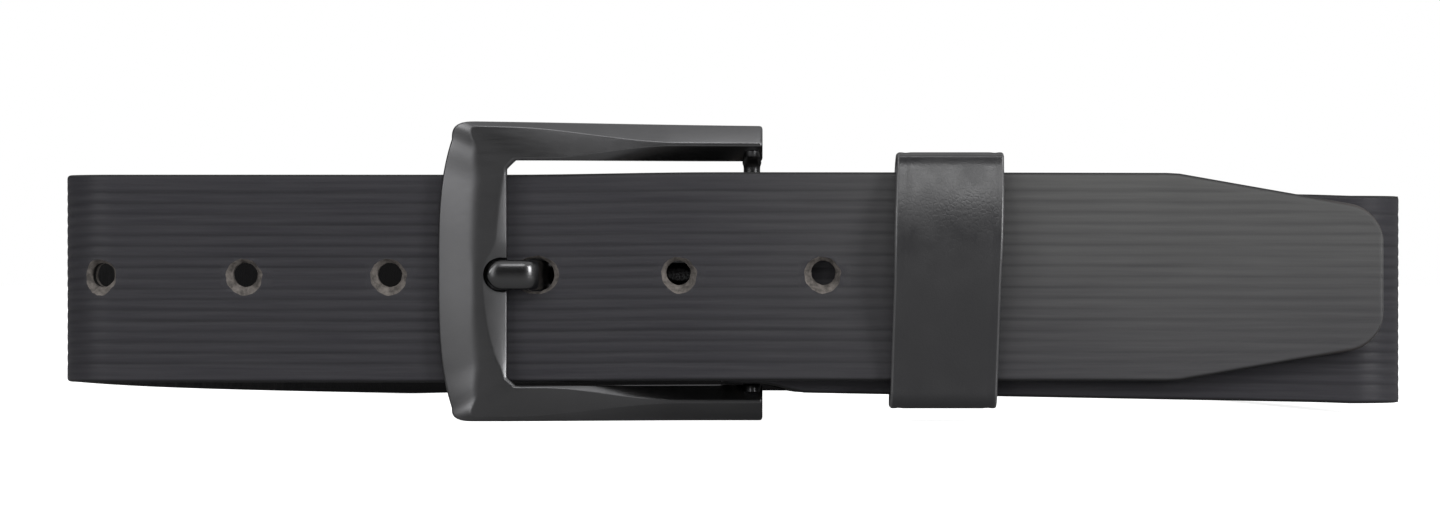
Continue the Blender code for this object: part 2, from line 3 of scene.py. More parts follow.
import bpy
import numpy as np
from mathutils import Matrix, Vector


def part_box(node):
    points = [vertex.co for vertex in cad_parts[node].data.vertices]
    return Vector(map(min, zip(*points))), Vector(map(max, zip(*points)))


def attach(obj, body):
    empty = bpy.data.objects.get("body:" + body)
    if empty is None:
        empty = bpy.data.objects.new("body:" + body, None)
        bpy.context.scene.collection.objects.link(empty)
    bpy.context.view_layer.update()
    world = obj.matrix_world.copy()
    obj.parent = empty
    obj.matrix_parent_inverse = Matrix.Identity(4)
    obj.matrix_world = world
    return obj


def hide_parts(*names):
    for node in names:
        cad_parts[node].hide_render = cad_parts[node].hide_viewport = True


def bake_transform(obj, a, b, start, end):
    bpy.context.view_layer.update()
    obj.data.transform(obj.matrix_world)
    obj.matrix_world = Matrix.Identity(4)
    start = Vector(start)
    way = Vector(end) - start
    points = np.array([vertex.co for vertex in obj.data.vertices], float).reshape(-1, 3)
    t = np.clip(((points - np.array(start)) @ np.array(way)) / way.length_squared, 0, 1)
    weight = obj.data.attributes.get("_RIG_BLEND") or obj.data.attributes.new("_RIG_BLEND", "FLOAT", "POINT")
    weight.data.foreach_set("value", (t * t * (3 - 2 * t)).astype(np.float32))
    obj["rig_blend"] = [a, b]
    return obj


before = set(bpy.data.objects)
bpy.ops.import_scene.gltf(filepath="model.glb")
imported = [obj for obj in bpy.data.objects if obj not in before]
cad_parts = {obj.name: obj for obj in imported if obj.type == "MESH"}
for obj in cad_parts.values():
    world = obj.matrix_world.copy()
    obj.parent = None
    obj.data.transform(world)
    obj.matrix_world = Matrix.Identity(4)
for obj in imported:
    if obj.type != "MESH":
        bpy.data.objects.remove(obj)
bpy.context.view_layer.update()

mm = 0.001  # every size in the dictionaries is in millimetres


def inMm(point):
    return np.array(point, float) / mm


def lowOf(node):
    return inMm(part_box(node)[0])


def highOf(node):
    return inMm(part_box(node)[1])


pinLift = 0.6  # the holes and the prong sit this much above the modelled row

# places that the frame gives
hinge = (lowOf("hinge_bar") + highOf("hinge_bar")) / 2
place = {
    "hingeX": hinge[0],
    "hingeY": hinge[1],
    "frontHalf": -lowOf("side_face")[0],
    "rearY": highOf("side_face")[1],
    "runY": lowOf("buckle_end_face")[1],
    "billetY": lowOf("billet_face")[1],
    "tipX": highOf("billet_face")[0],
    "frameMiddle": (lowOf("buckle_frame")[2] + highOf("buckle_frame")[2]) / 2,
    "frameHigh": highOf("buckle_frame")[2],
    "frameEndX": highOf("buckle_frame")[0],
    "frameLeftX": lowOf("buckle_frame")[0],
    "prongMiddle": (lowOf("prong")[2] + highOf("prong")[2]) / 2 + pinLift,
    "prongTipX": lowOf("prong")[0],
}


def ease(t):
    t = np.clip(t, 0.0, 1.0)
    return t * t * (3 - 2 * t)


def mix(a, b, t):
    return a + (b - a) * t


def evenly(low, high, step):
    return np.linspace(low, high, max(2, round(abs(high - low) / step) + 1))


def plug(tree, socket, value):
    if value is None:
        return
    if isinstance(value, bpy.types.NodeSocket):
        tree.links.new(value, socket)
    else:
        socket.default_value = value


def calc(tree, operation, *values):
    node = tree.nodes.new("ShaderNodeMath")
    node.operation = operation
    for socket, value in zip(node.inputs, values):
        plug(tree, socket, value)
    return node.outputs[0]


def vectorCalc(tree, operation, *values):
    node = tree.nodes.new("ShaderNodeVectorMath")
    node.operation = operation
    if operation == "SCALE":
        plug(tree, node.inputs[0], values[0])
        plug(tree, node.inputs["Scale"], values[1])
    else:
        for socket, value in zip(node.inputs, values):
            plug(tree, socket, value)
    return node.outputs[0]


def noise(tree, vector, scale, detail=3.0, roughness=0.5, seed=0.0):
    node = tree.nodes.new("ShaderNodeTexNoise")
    node.noise_dimensions = "4D"
    plug(tree, node.inputs["Vector"], vector)
    node.inputs["W"].default_value = seed
    plug(tree, node.inputs["Scale"], scale)
    node.inputs["Detail"].default_value = detail
    node.inputs["Roughness"].default_value = roughness
    return node.outputs[0]


def remap(tree, value, fromLow, fromHigh, toLow, toHigh, kind="LINEAR"):
    node = tree.nodes.new("ShaderNodeMapRange")
    node.interpolation_type = kind
    for name, item in zip(("Value", "From Min", "From Max", "To Min", "To Max"),
                          (value, fromLow, fromHigh, toLow, toHigh)):
        plug(tree, node.inputs[name], item)
    return node.outputs[0]


def blendColour(tree, share, first, second):
    node = tree.nodes.new("ShaderNodeMix")
    node.data_type = "RGBA"
    plug(tree, node.inputs["Factor"], share)
    plug(tree, node.inputs["A"], first if isinstance(first, bpy.types.NodeSocket) else (*first, 1.0))
    plug(tree, node.inputs["B"], second if isinstance(second, bpy.types.NodeSocket) else (*second, 1.0))
    return node.outputs["Result"]


def newGroup(name, inputs, outputs):
    group = bpy.data.node_groups.new(name, "ShaderNodeTree")
    for label, kind, value in inputs:
        socket = group.interface.new_socket(label, in_out="INPUT", socket_type=kind)
        if value is not None:
            socket.default_value = value
    for label in outputs:
        group.interface.new_socket(label, in_out="OUTPUT", socket_type="NodeSocketFloat")
    source = group.nodes.new("NodeGroupInput")
    sink = group.nodes.new("NodeGroupOutput")
    return group, source.outputs, sink.inputs


def streakGroup():
    # long thin streaks that run with the strap, and a fine pore grain
    group, given, out = newGroup(
        "strapStreaks",
        [("Flow", "NodeSocketVector", None), ("Streak Length", "NodeSocketFloat", 0.012),
         ("Streak Width", "NodeSocketFloat", 0.0004), ("Grain Size", "NodeSocketFloat", 0.0005)],
        ["Streak", "Cloud", "Grain"])
    parts = group.nodes.new("ShaderNodeSeparateXYZ")
    group.links.new(given["Flow"], parts.inputs[0])
    pulled = group.nodes.new("ShaderNodeCombineXYZ")
    group.links.new(calc(group, "DIVIDE", parts.outputs[0], given["Streak Length"]), pulled.inputs[0])
    group.links.new(calc(group, "DIVIDE", parts.outputs[1], given["Streak Width"]), pulled.inputs[1])
    streak = noise(group, pulled.outputs[0], 0.7, 2.0, 0.55, 3.1)
    cloud = noise(group, given["Flow"], 28.0, 3.0, 0.55, 8.4)
    fine = calc(group, "DIVIDE", 1.0, given["Grain Size"])
    grain = noise(group, given["Flow"], fine, 2.0, 0.6, 1.7)
    for socket, value in zip(out, (streak, cloud, grain)):
        group.links.new(value, socket)
    return group


def hideGroup():
    # pores, soft creases and cloudy tone of smooth leather, on object coordinates
    group, given, out = newGroup(
        "smoothHide",
        [("Place", "NodeSocketVector", None), ("Pore Size", "NodeSocketFloat", 0.0007),
         ("Crease Size", "NodeSocketFloat", 0.006)],
        ["Pores", "Creases", "Cloud"])
    cells = group.nodes.new("ShaderNodeTexVoronoi")
    cells.feature = "DISTANCE_TO_EDGE"
    group.links.new(given["Place"], cells.inputs["Vector"])
    group.links.new(calc(group, "DIVIDE", 1.0, given["Pore Size"]), cells.inputs["Scale"])
    pores = remap(group, cells.outputs["Distance"], 0.0, 0.22, 0.0, 1.0, "SMOOTHSTEP")
    wide = calc(group, "DIVIDE", 1.0, given["Crease Size"])
    creases = noise(group, given["Place"], wide, 4.0, 0.62, 5.2)
    cloud = noise(group, given["Place"], 45.0, 3.0, 0.5, 2.9)
    for socket, value in zip(out, (pores, creases, cloud)):
        group.links.new(value, socket)
    return group


def castGroup():
    # uneven plating: soft cloud, fine cast grain and short polishing lines
    group, given, out = newGroup(
        "castPlating",
        [("Place", "NodeSocketVector", None), ("Grain Size", "NodeSocketFloat", 0.0003),
         ("Line Length", "NodeSocketFloat", 0.008)],
        ["Cloud", "Grain", "Lines"])
    cloud = noise(group, given["Place"], 90.0, 3.0, 0.5, 6.1)
    fine = calc(group, "DIVIDE", 1.0, given["Grain Size"])
    grain = noise(group, given["Place"], fine, 2.0, 0.6, 4.6)
    along = calc(group, "DIVIDE", 1.0, given["Line Length"])
    pulled = group.nodes.new("ShaderNodeCombineXYZ")
    group.links.new(along, pulled.inputs[0])
    for axis in (1, 2):
        group.links.new(calc(group, "MULTIPLY", along, 22.0), pulled.inputs[axis])
    stretched = vectorCalc(group, "MULTIPLY", given["Place"], pulled.outputs[0])
    lines = noise(group, stretched, 1.0, 2.0, 0.5, 9.3)
    for socket, value in zip(out, (cloud, grain, lines)):
        group.links.new(value, socket)
    return group


def useGroup(tree, group, **values):
    node = tree.nodes.new("ShaderNodeGroup")
    node.node_tree = group
    for name, value in values.items():
        plug(tree, node.inputs[name.replace("_", " ")], value)
    return node.outputs


def newMaterial(name, roughness, metallic=0.0, **fixed):
    made = bpy.data.materials.new(name)
    made.use_nodes = True
    tree = made.node_tree
    shader = tree.nodes["Principled BSDF"]
    shader.inputs["Roughness"].default_value = roughness
    shader.inputs["Metallic"].default_value = metallic
    for label, value in fixed.items():
        shader.inputs[label.replace("_", " ")].default_value = value
    return made, tree, shader


def attribute(tree, name):
    node = tree.nodes.new("ShaderNodeAttribute")
    node.attribute_name = name
    return node


def objectPlace(tree):
    return tree.nodes.new("ShaderNodeTexCoord").outputs["Object"]


def bump(tree, shader, height, strength, distance):
    node = tree.nodes.new("ShaderNodeBump")
    node.inputs["Strength"].default_value = strength
    node.inputs["Distance"].default_value = distance
    tree.links.new(height, node.inputs["Height"])
    tree.links.new(node.outputs[0], shader.inputs["Normal"])


leather = {
    "dark": (0.032, 0.031, 0.0372),
    "light": (0.045, 0.044, 0.0498),
    # the light grey below is painted sheen for the strap's lit right end and upper edge
    "wearAndPaintedLight": (0.118, 0.118, 0.116),
    "grooved": (0.014, 0.0138, 0.0165),
    "grooveShade": 0.6,
    "paintedEdge": (0.008, 0.008, 0.0085),
    "rawEdge": (0.12, 0.105, 0.10),
    "roughness": 0.52,
    "gloss": 0.30,
}


def strapLeather(streaks):
    made, tree, shader = newMaterial("strapLeather", leather["roughness"],
                                     Specular_IOR_Level=leather["gloss"])
    flow = attribute(tree, "flow").outputs["Vector"]
    got = useGroup(tree, streaks, Flow=flow)
    tone = calc(tree, "ADD", calc(tree, "MULTIPLY", got["Streak"], 0.75),
                calc(tree, "MULTIPLY", got["Cloud"], 0.25))
    tone = remap(tree, tone, 0.36, 0.64, 0.0, 1.0)
    colour = blendColour(tree, tone, leather["dark"], leather["light"])
    # painted sheen: the strap is lighter towards its right end and more so towards its upper edge
    wearAndPaintedLight = attribute(tree, "wear").outputs["Fac"]
    parts = tree.nodes.new("ShaderNodeSeparateXYZ")
    tree.links.new(flow, parts.inputs[0])
    upper = remap(tree, parts.outputs[1], -0.0175, 0.0175, 0.3, 1.0)
    wearAndPaintedLight = calc(tree, "MULTIPLY", wearAndPaintedLight, calc(tree, "MULTIPLY", upper, remap(tree, tone, 0, 1, 0.8, 1.0)))
    colour = blendColour(tree, wearAndPaintedLight, colour, leather["wearAndPaintedLight"])
    shaded = calc(tree, "MULTIPLY", attribute(tree, "groove").outputs["Fac"], leather["grooveShade"])
    colour = blendColour(tree, shaded, colour, leather["grooved"])
    edge = attribute(tree, "edge").outputs["Fac"]
    colour = blendColour(tree, edge, colour, leather["paintedEdge"])
    raw = attribute(tree, "rawEdge").outputs["Fac"]
    patchy = remap(tree, got["Cloud"], 0.4, 0.62, 0.35, 1.0)
    colour = blendColour(tree, calc(tree, "MULTIPLY", raw, patchy), colour, leather["rawEdge"])
    tree.links.new(colour, shader.inputs["Base Color"])
    tree.links.new(remap(tree, got["Cloud"], 0.35, 0.65, 0.47, 0.58), shader.inputs["Roughness"])
    height = calc(tree, "ADD", calc(tree, "MULTIPLY", got["Streak"], 0.7),
                  calc(tree, "MULTIPLY", got["Grain"], 0.3))
    bump(tree, shader, height, 0.35, 0.00012)
    return made


def rawFibre(hide):
    made, tree, shader = newMaterial("rawFibre", 0.85, Specular_IOR_Level=0.2)
    got = useGroup(tree, hide, Place=objectPlace(tree), Pore_Size=0.0004, Crease_Size=0.0012)
    tone = remap(tree, got["Creases"], 0.38, 0.62, 0.0, 1.0)
    colour = blendColour(tree, tone, (0.085, 0.078, 0.073), (0.21, 0.19, 0.175))
    tree.links.new(colour, shader.inputs["Base Color"])
    bump(tree, shader, got["Creases"], 0.8, 0.0003)
    return made


def liningLeather(hide):
    made, tree, shader = newMaterial("liningLeather", 0.7, Specular_IOR_Level=0.1)
    got = useGroup(tree, hide, Place=objectPlace(tree), Pore_Size=0.0006, Crease_Size=0.003)
    tone = remap(tree, got["Cloud"], 0.35, 0.65, 0.0, 1.0)
    colour = blendColour(tree, tone, (0.0035, 0.0035, 0.004), (0.007, 0.0068, 0.007))
    tree.links.new(colour, shader.inputs["Base Color"])
    tree.links.new(remap(tree, got["Creases"], 0.35, 0.65, 0.62, 0.8), shader.inputs["Roughness"])
    height = calc(tree, "ADD", calc(tree, "MULTIPLY", got["Pores"], 0.4), got["Creases"])
    bump(tree, shader, height, 0.4, 0.00015)
    return made


def keeperLeather(hide):
    made, tree, shader = newMaterial("keeperLeather", 0.36, Specular_IOR_Level=1.0)
    got = useGroup(tree, hide, Place=objectPlace(tree), Pore_Size=0.0008, Crease_Size=0.005)
    tone = remap(tree, got["Cloud"], 0.35, 0.65, 0.0, 1.0)
    colour = blendColour(tree, tone, (0.0105, 0.0105, 0.0128), (0.0165, 0.0163, 0.0183))
    # painted highlight: the band's rounded edges are coloured lighter
    edge = attribute(tree, "edge").outputs["Fac"]
    colour = blendColour(tree, edge, colour, (0.075, 0.075, 0.078))
    tree.links.new(colour, shader.inputs["Base Color"])
    tree.links.new(remap(tree, got["Creases"], 0.35, 0.65, 0.31, 0.43), shader.inputs["Roughness"])
    height = calc(tree, "ADD", calc(tree, "MULTIPLY", got["Pores"], 0.15), got["Creases"])
    bump(tree, shader, height, 0.25, 0.0002)
    return made


def platedMetal(cast, name, dark, light, wearAndPaintedLight, roughness):
    made, tree, shader = newMaterial(name, roughness, 1.0)
    got = useGroup(tree, cast, Place=objectPlace(tree))
    tone = remap(tree, got["Cloud"], 0.35, 0.65, 0.0, 1.0)
    colour = blendColour(tree, tone, dark, light)
    # lighter rubbed plating along the edges; on the prong this mask covers the shank instead, and its colour
    # there is painted shade, nearly black
    edge = attribute(tree, "edge").outputs["Fac"]
    spottyMask = remap(tree, got["Grain"], 0.42, 0.6, 0.25, 1.0)
    colour = blendColour(tree, calc(tree, "MULTIPLY", edge, spottyMask), colour, wearAndPaintedLight)
    tree.links.new(colour, shader.inputs["Base Color"])
    low, high = roughness - 0.02, roughness + 0.02
    tree.links.new(remap(tree, got["Lines"], 0.35, 0.65, low, high), shader.inputs["Roughness"])
    height = calc(tree, "ADD", calc(tree, "MULTIPLY", got["Lines"], 0.6), got["Grain"])
    bump(tree, shader, height, 0.05, 0.00005)
    return made


streaks, hide, cast = streakGroup(), hideGroup(), castGroup()
finish = {
    "strap": strapLeather(streaks),
    "fibre": rawFibre(hide),
    "lining": liningLeather(hide),
    "keeper": keeperLeather(hide),
    "gunmetal": platedMetal(cast, "gunmetal", (0.122, 0.122, 0.125), (0.134, 0.134, 0.138),
                            (0.16, 0.16, 0.165), 0.31),
    # the prong's last colour is painted shade, nearly black, for the shank behind the strap
    "prong": platedMetal(cast, "prongMetal", (0.095, 0.095, 0.097), (0.11, 0.11, 0.112),
                         (0.005, 0.005, 0.005), 0.22),
    "bar": platedMetal(cast, "barSteel", (0.07, 0.07, 0.072), (0.09, 0.09, 0.092),
                       (0.16, 0.16, 0.16), 0.30),
    "stud": platedMetal(cast, "studMetal", (0.12, 0.12, 0.122), (0.16, 0.16, 0.163),
                        (0.3, 0.3, 0.3), 0.28),
}
print("materials made")


def addMesh(name, verts, faces, materials, edgeMask=None):
    # verts are in millimetres
    mesh = bpy.data.meshes.new(name)
    mesh.from_pydata([tuple(float(c) * mm for c in v) for v in verts], [], faces)
    mesh.update()
    for item in materials:
        mesh.materials.append(item)
    if edgeMask is not None:
        layer = mesh.attributes.new("edge", "FLOAT", "POINT")
        layer.data.foreach_set("value", np.array(edgeMask, np.float32))
    return addObject(name, mesh)


def addObject(name, mesh):
    made = bpy.data.objects.new(name, mesh)
    bpy.context.scene.collection.objects.link(made)
    return made


def signedVolume(mesh):
    mesh.calc_loop_triangles()
    co = np.empty(len(mesh.vertices) * 3)
    mesh.vertices.foreach_get("co", co)
    co = co.reshape(-1, 3)
    tri = np.empty(len(mesh.loop_triangles) * 3, np.int32)
    mesh.loop_triangles.foreach_get("vertices", tri)
    a, b, c = (co[tri.reshape(-1, 3)[:, k]] for k in range(3))
    return float(np.einsum("ij,ij->i", a, np.cross(b, c)).sum() / 6)


def faceOut(obj):
    if signedVolume(obj.data) < 0:
        obj.data.flip_normals()
    return obj


def finished(obj, name=None):
    # the object with its modifiers applied, as a plain mesh at the origin
    graph = bpy.context.evaluated_depsgraph_get()
    graph.update()
    mesh = bpy.data.meshes.new_from_object(obj.evaluated_get(graph), preserve_all_data_layers=True,
                                           depsgraph=graph)
    label = name or obj.name
    old = obj.data
    bpy.data.objects.remove(obj)
    if isinstance(old, bpy.types.Mesh) and old.users == 0:
        bpy.data.meshes.remove(old)
    mesh.name = label
    made = addObject(label, mesh)
    made.name = label
    return made


def smoothShade(obj, degrees=35.0):
    obj.data.shade_smooth()
    obj.data.set_sharp_from_angle(angle=math.radians(degrees))
    return obj


def lofted(name, rings, materials, edgeMask=None, cyclic=False):
    # skin through rings with as many points each, closed by flat ends unless it is cyclic
    size, count = len(rings[0]), len(rings)
    verts = [p for ring in rings for p in ring]
    faces = []
    for i in range(count if cyclic else count - 1):
        low, high = i * size, (i + 1) % count * size
        for k in range(size):
            m = (k + 1) % size
            faces.append((low + k, low + m, high + m, high + k))
    if not cyclic:
        faces.append(tuple(reversed(range(size))))
        faces.append(tuple((count - 1) * size + k for k in range(size)))
    mask = None if edgeMask is None else [v for ring in edgeMask for v in ring]
    return faceOut(addMesh(name, verts, faces, materials, mask))


def cutWith(obj, tools, operation="DIFFERENCE"):
    for tool in tools:
        made = obj.modifiers.new(tool.name, "BOOLEAN")
        made.operation = operation
        made.solver = "MANIFOLD"
        made.object = tool
    cut = finished(obj)
    for tool in tools:
        bpy.data.objects.remove(tool)
    return cut


def give(obj, body, slotName, *nodes):
    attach(obj, body)
    if nodes:
        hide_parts(*nodes)
    return obj


strap = {
    "width": 35.0,
    "thickness": 3.6,
    "faceDeep": 1.4,
    "coreFrom": 1.5,
    "coreTo": 2.5,
    "liningFrom": 2.6,
    "frontSpare": 0.85,
    "cornerRadius": 9.0,
    "squareness": 2.5,
    "foldRadius": 5.3,
    "barSpace": 3.4,
    "flapLength": 21.3,
    "flapEase": 9.5,
    "seatGap": 0.3,
    "hingeDrop": 1.4,
    "leftDrop": 1.2,
    "billetDrop": 0.85,
    "tipSink": 0.15,
    "runSag": 1.4,
    "rightLift": 2.95,
    "backLevel": 0.25,
    "riseStart": -38.0,
    "riseEnd": -3.0,
    "taperLength": 34.9,
    "tipTaper": 6.1,
    "tipRadius": 5.5,
    "edgeRound": 0.6,
    "plyRound": 0.1,
    "step": 2.2,
    "loopStep": 2.8,
    "bendSpan": 92.0,
    "acrossCount": 176,
    "ribPitch": 1.8,
    "ribDepth": 0.1,
}
half = strap["width"] / 2
level = {
    "hinge": place["frameMiddle"] - strap["hingeDrop"],
    "right": half + strap["rightLift"],
    "back": half,
    "left": place["frameMiddle"] - strap["leftDrop"],
    "billet": place["frameMiddle"] - strap["billetDrop"],
}
frontHalf = place["frontHalf"] + strap["frontSpare"]
cornerX = frontHalf - strap["cornerRadius"]
cornerY = place["runY"] + strap["cornerRadius"]
runBackY = place["runY"] + strap["thickness"]


def runLevel(x):
    # hangs a little just past the fold
    past = np.asarray(x) - place["hingeX"]
    sag = strap["runSag"] * ease((past - 2) / 7) * (1 - np.clip(past / 95, 0, 1))
    return mix(level["hinge"], level["right"], past / (cornerX - place["hingeX"])) - sag


def flapY(x):
    eased = ease((x - place["hingeX"]) / strap["flapEase"])
    return runBackY + mix(strap["barSpace"], strap["seatGap"], eased) + strap["thickness"]


def riseShare(x):
    return ease((x - strap["riseStart"]) / (strap["riseEnd"] - strap["riseStart"]))


def tipHalf(x):
    into = np.clip(x - (place["tipX"] - strap["taperLength"]), 0.0, None) / strap["taperLength"]
    round_ = np.clip(x - (place["tipX"] - strap["tipRadius"]), 0.0, strap["tipRadius"])
    lost = strap["tipRadius"] - np.sqrt(strap["tipRadius"] ** 2 - round_ ** 2)
    return half - strap["tipTaper"] * into - lost


def quarterLoop():
    # one side of the loop, a superellipse with evenly spaced points
    a = np.linspace(0, math.pi / 2, 2001)
    power = 2 / strap["squareness"]
    x = frontHalf * np.clip(np.cos(a), 0, None) ** power
    y = cornerY + (place["rearY"] - cornerY) * np.sin(a) ** power
    run = np.concatenate([[0], np.cumsum(np.hypot(np.diff(x), np.diff(y)))])
    spots = evenly(0, run[-1], strap["loopStep"])
    return np.interp(spots, run, x), np.interp(spots, run, y), spots / run[-1]


def arcPoints(cx, cy, radius, start, end, count):
    a = np.radians(np.linspace(start, end, count))
    return cx + radius * np.cos(a), cy + radius * np.sin(a)


def strapLine():
    # outer face from the flap's end to the tip: x, y, height of the middle, half width
    rows = []

    def lay(x, y, z, w=half):
        for row in np.broadcast(x, y, z, w):
            if not rows or math.dist(rows[-1][:2], row[:2]) > 1e-4:
                rows.append([float(v) for v in row])
        return len(rows) - 1

    endX = place["hingeX"] + strap["flapLength"]
    flap = np.concatenate([endX - np.array([0, 0.15, 0.35, 0.6]), evenly(endX - 1.2, place["hingeX"], 0.8)])
    lay(flap, flapY(flap), runLevel(flap))
    x, y = arcPoints(place["hingeX"], place["hingeY"], strap["foldRadius"], 90, 270, 33)
    lay(x, y, level["hinge"])
    x = evenly(place["hingeX"], cornerX, strap["step"])
    lay(x, place["runY"], runLevel(x))
    x, y = arcPoints(cornerX, cornerY, strap["cornerRadius"], -90, 0, 15)
    lay(x, y, level["right"])
    lx, ly, share = quarterLoop()
    sunk = ease(share / (1 - strap["backLevel"]))
    split = int(np.argmin(abs(lx - strap["bendSpan"])))
    bendFrom = lay(lx[: split + 1], ly[: split + 1], mix(level["right"], level["back"], sunk[: split + 1]))
    lay(lx, ly, mix(level["right"], level["back"], sunk))
    steady = np.clip(share / (1 - strap["backLevel"]), 0, 1)
    left = mix(level["left"], level["back"], steady)[::-1]
    bendTo = lay(-lx[::-1][: len(lx) - split], ly[::-1][: len(lx) - split], left[: len(lx) - split])
    lay(-lx[::-1][len(lx) - split:], ly[::-1][len(lx) - split:], left[len(lx) - split:])
    x, y = arcPoints(-cornerX, cornerY, strap["cornerRadius"], 180, 270, 15)
    lay(x, y, level["left"])
    tipX = place["tipX"]
    x = np.concatenate([
        evenly(-cornerX, tipX - strap["tipRadius"], strap["step"]),
        tipX - strap["tipRadius"] * (1 - np.sin(np.radians(np.arange(8, 83, 8)))),
        tipX - np.array([0.03, 0.0]),
    ])
    t = riseShare(x)
    z = mix(level["left"], level["billet"], t) - strap["tipSink"] * ease(x / place["tipX"])
    lay(x, mix(place["runY"], place["billetY"], t), z, tipHalf(x))
    return np.array(rows), bendFrom, bendTo


line, bendFrom, bendTo = strapLine()
ahead = np.vstack([line[1:, :2] - line[:-1, :2]])
ahead /= np.linalg.norm(ahead, axis=1)[:, None]
heading = np.vstack([ahead[:1], ahead[:-1] + ahead[1:], ahead[-1:]])
heading /= np.linalg.norm(heading, axis=1)[:, None]
outward = np.stack([heading[:, 1], -heading[:, 0]], axis=1)
along = np.concatenate([[0], np.cumsum(np.hypot(*np.diff(line[:, :2], axis=0).T))])
print("strap line", len(line), "stations,", round(float(along[-1])), "mm")


def railObject(name, first, last, edgeRound):
    # a line of stations that carries what the ply tree needs
    rows, out, run = line[first:last + 1], outward[first:last + 1], along[first:last + 1]
    mesh = bpy.data.meshes.new(name)
    points = [(x * mm, y * mm, 0.0) for x, y, z, w in rows]
    mesh.from_pydata(points, [(k, k + 1) for k in range(len(points) - 1)], [])
    fromTip = along[-1] - run
    fromFlap = run - along[0]
    near = np.clip(1 - np.minimum(fromTip, fromFlap) / edgeRound, 0, 1)
    sink = edgeRound * (1 - np.sqrt(1 - near ** 2))
    # painted sheen share: the billet's front grows lighter towards the right, and the same share makes its
    # ribs shallower there
    wearAndPaintedLight = ease((rows[:, 0] + 22) / 95) * (fromTip < place["tipX"] + cornerX)
    scalars = {
        "middle": rows[:, 2] * mm,
        "half": rows[:, 3] * mm,
        "along": run * mm,
        "sink": sink * mm,
        "wear": wearAndPaintedLight,
        "ribbing": mix(1.0, 0.5, wearAndPaintedLight),
        "rawShare": ease((rows[:, 0] - 96) / 8) * (fromTip < 60),
    }
    for label, values in scalars.items():
        layer = mesh.attributes.new(label, "FLOAT", "POINT")
        layer.data.foreach_set("value", np.ascontiguousarray(values, np.float32))
    for label, values in (("station", np.column_stack([rows[:, :2] * mm, 0 * run])),
                          ("outward", np.column_stack([out, 0 * run]))):
        layer = mesh.attributes.new(label, "FLOAT_VECTOR", "POINT")
        layer.data.foreach_set("vector", np.ascontiguousarray(values, np.float32).ravel())
    return addObject(name, mesh)


def profileObject(name, near, far, roundNear, roundFar, count):
    # closed outline of a ply: share across, extra reach past it, depth, rib and edge masks
    points = []
    for k in range(count):
        share = -1 + 2 * k / (count - 1)
        fromEdge = (1 - abs(share)) * half
        points.append((share, 0.0, near, float(ease((fromEdge - 0.5) / 1.2)), 0.0))
    for sign in (1, -1):
        bend = []
        for angle in np.radians(np.arange(18, 91, 18)):
            bend.append((sign, sign * roundNear * math.sin(angle),
                         near + roundNear * (1 - math.cos(angle)), 0.0, min(1.0, angle / 0.9)))
        for angle in np.radians((0, 45, 90)):
            reach = roundNear - roundFar * (1 - math.cos(angle))
            bend.append((sign, sign * reach, far - roundFar * (1 - math.sin(angle)), 0.0, 1.0))
        if sign > 0:
            points += bend
            back = np.linspace(1, -1, 14)[1:-1]
            points += [(float(share), 0.0, far, 0.0, 0.0) for share in back]
        else:
            points += bend[::-1]
    mesh = bpy.data.meshes.new(name)
    co = [(p[0] * 0.01, p[2] * 0.001 + p[1] * 1e-4, 0.0) for p in points]
    size = len(points)
    mesh.from_pydata(co, [(k, (k + 1) % size) for k in range(size)], [])
    table = np.array(points)
    for label, column, unit in (("across", 0, 1.0), ("reach", 1, mm), ("deep", 2, mm),
                                ("ribbed", 3, 1.0), ("edge", 4, 1.0)):
        layer = mesh.attributes.new(label, "FLOAT", "POINT")
        layer.data.foreach_set("value", (table[:, column] * unit).astype(np.float32))
    return addObject(name, mesh)


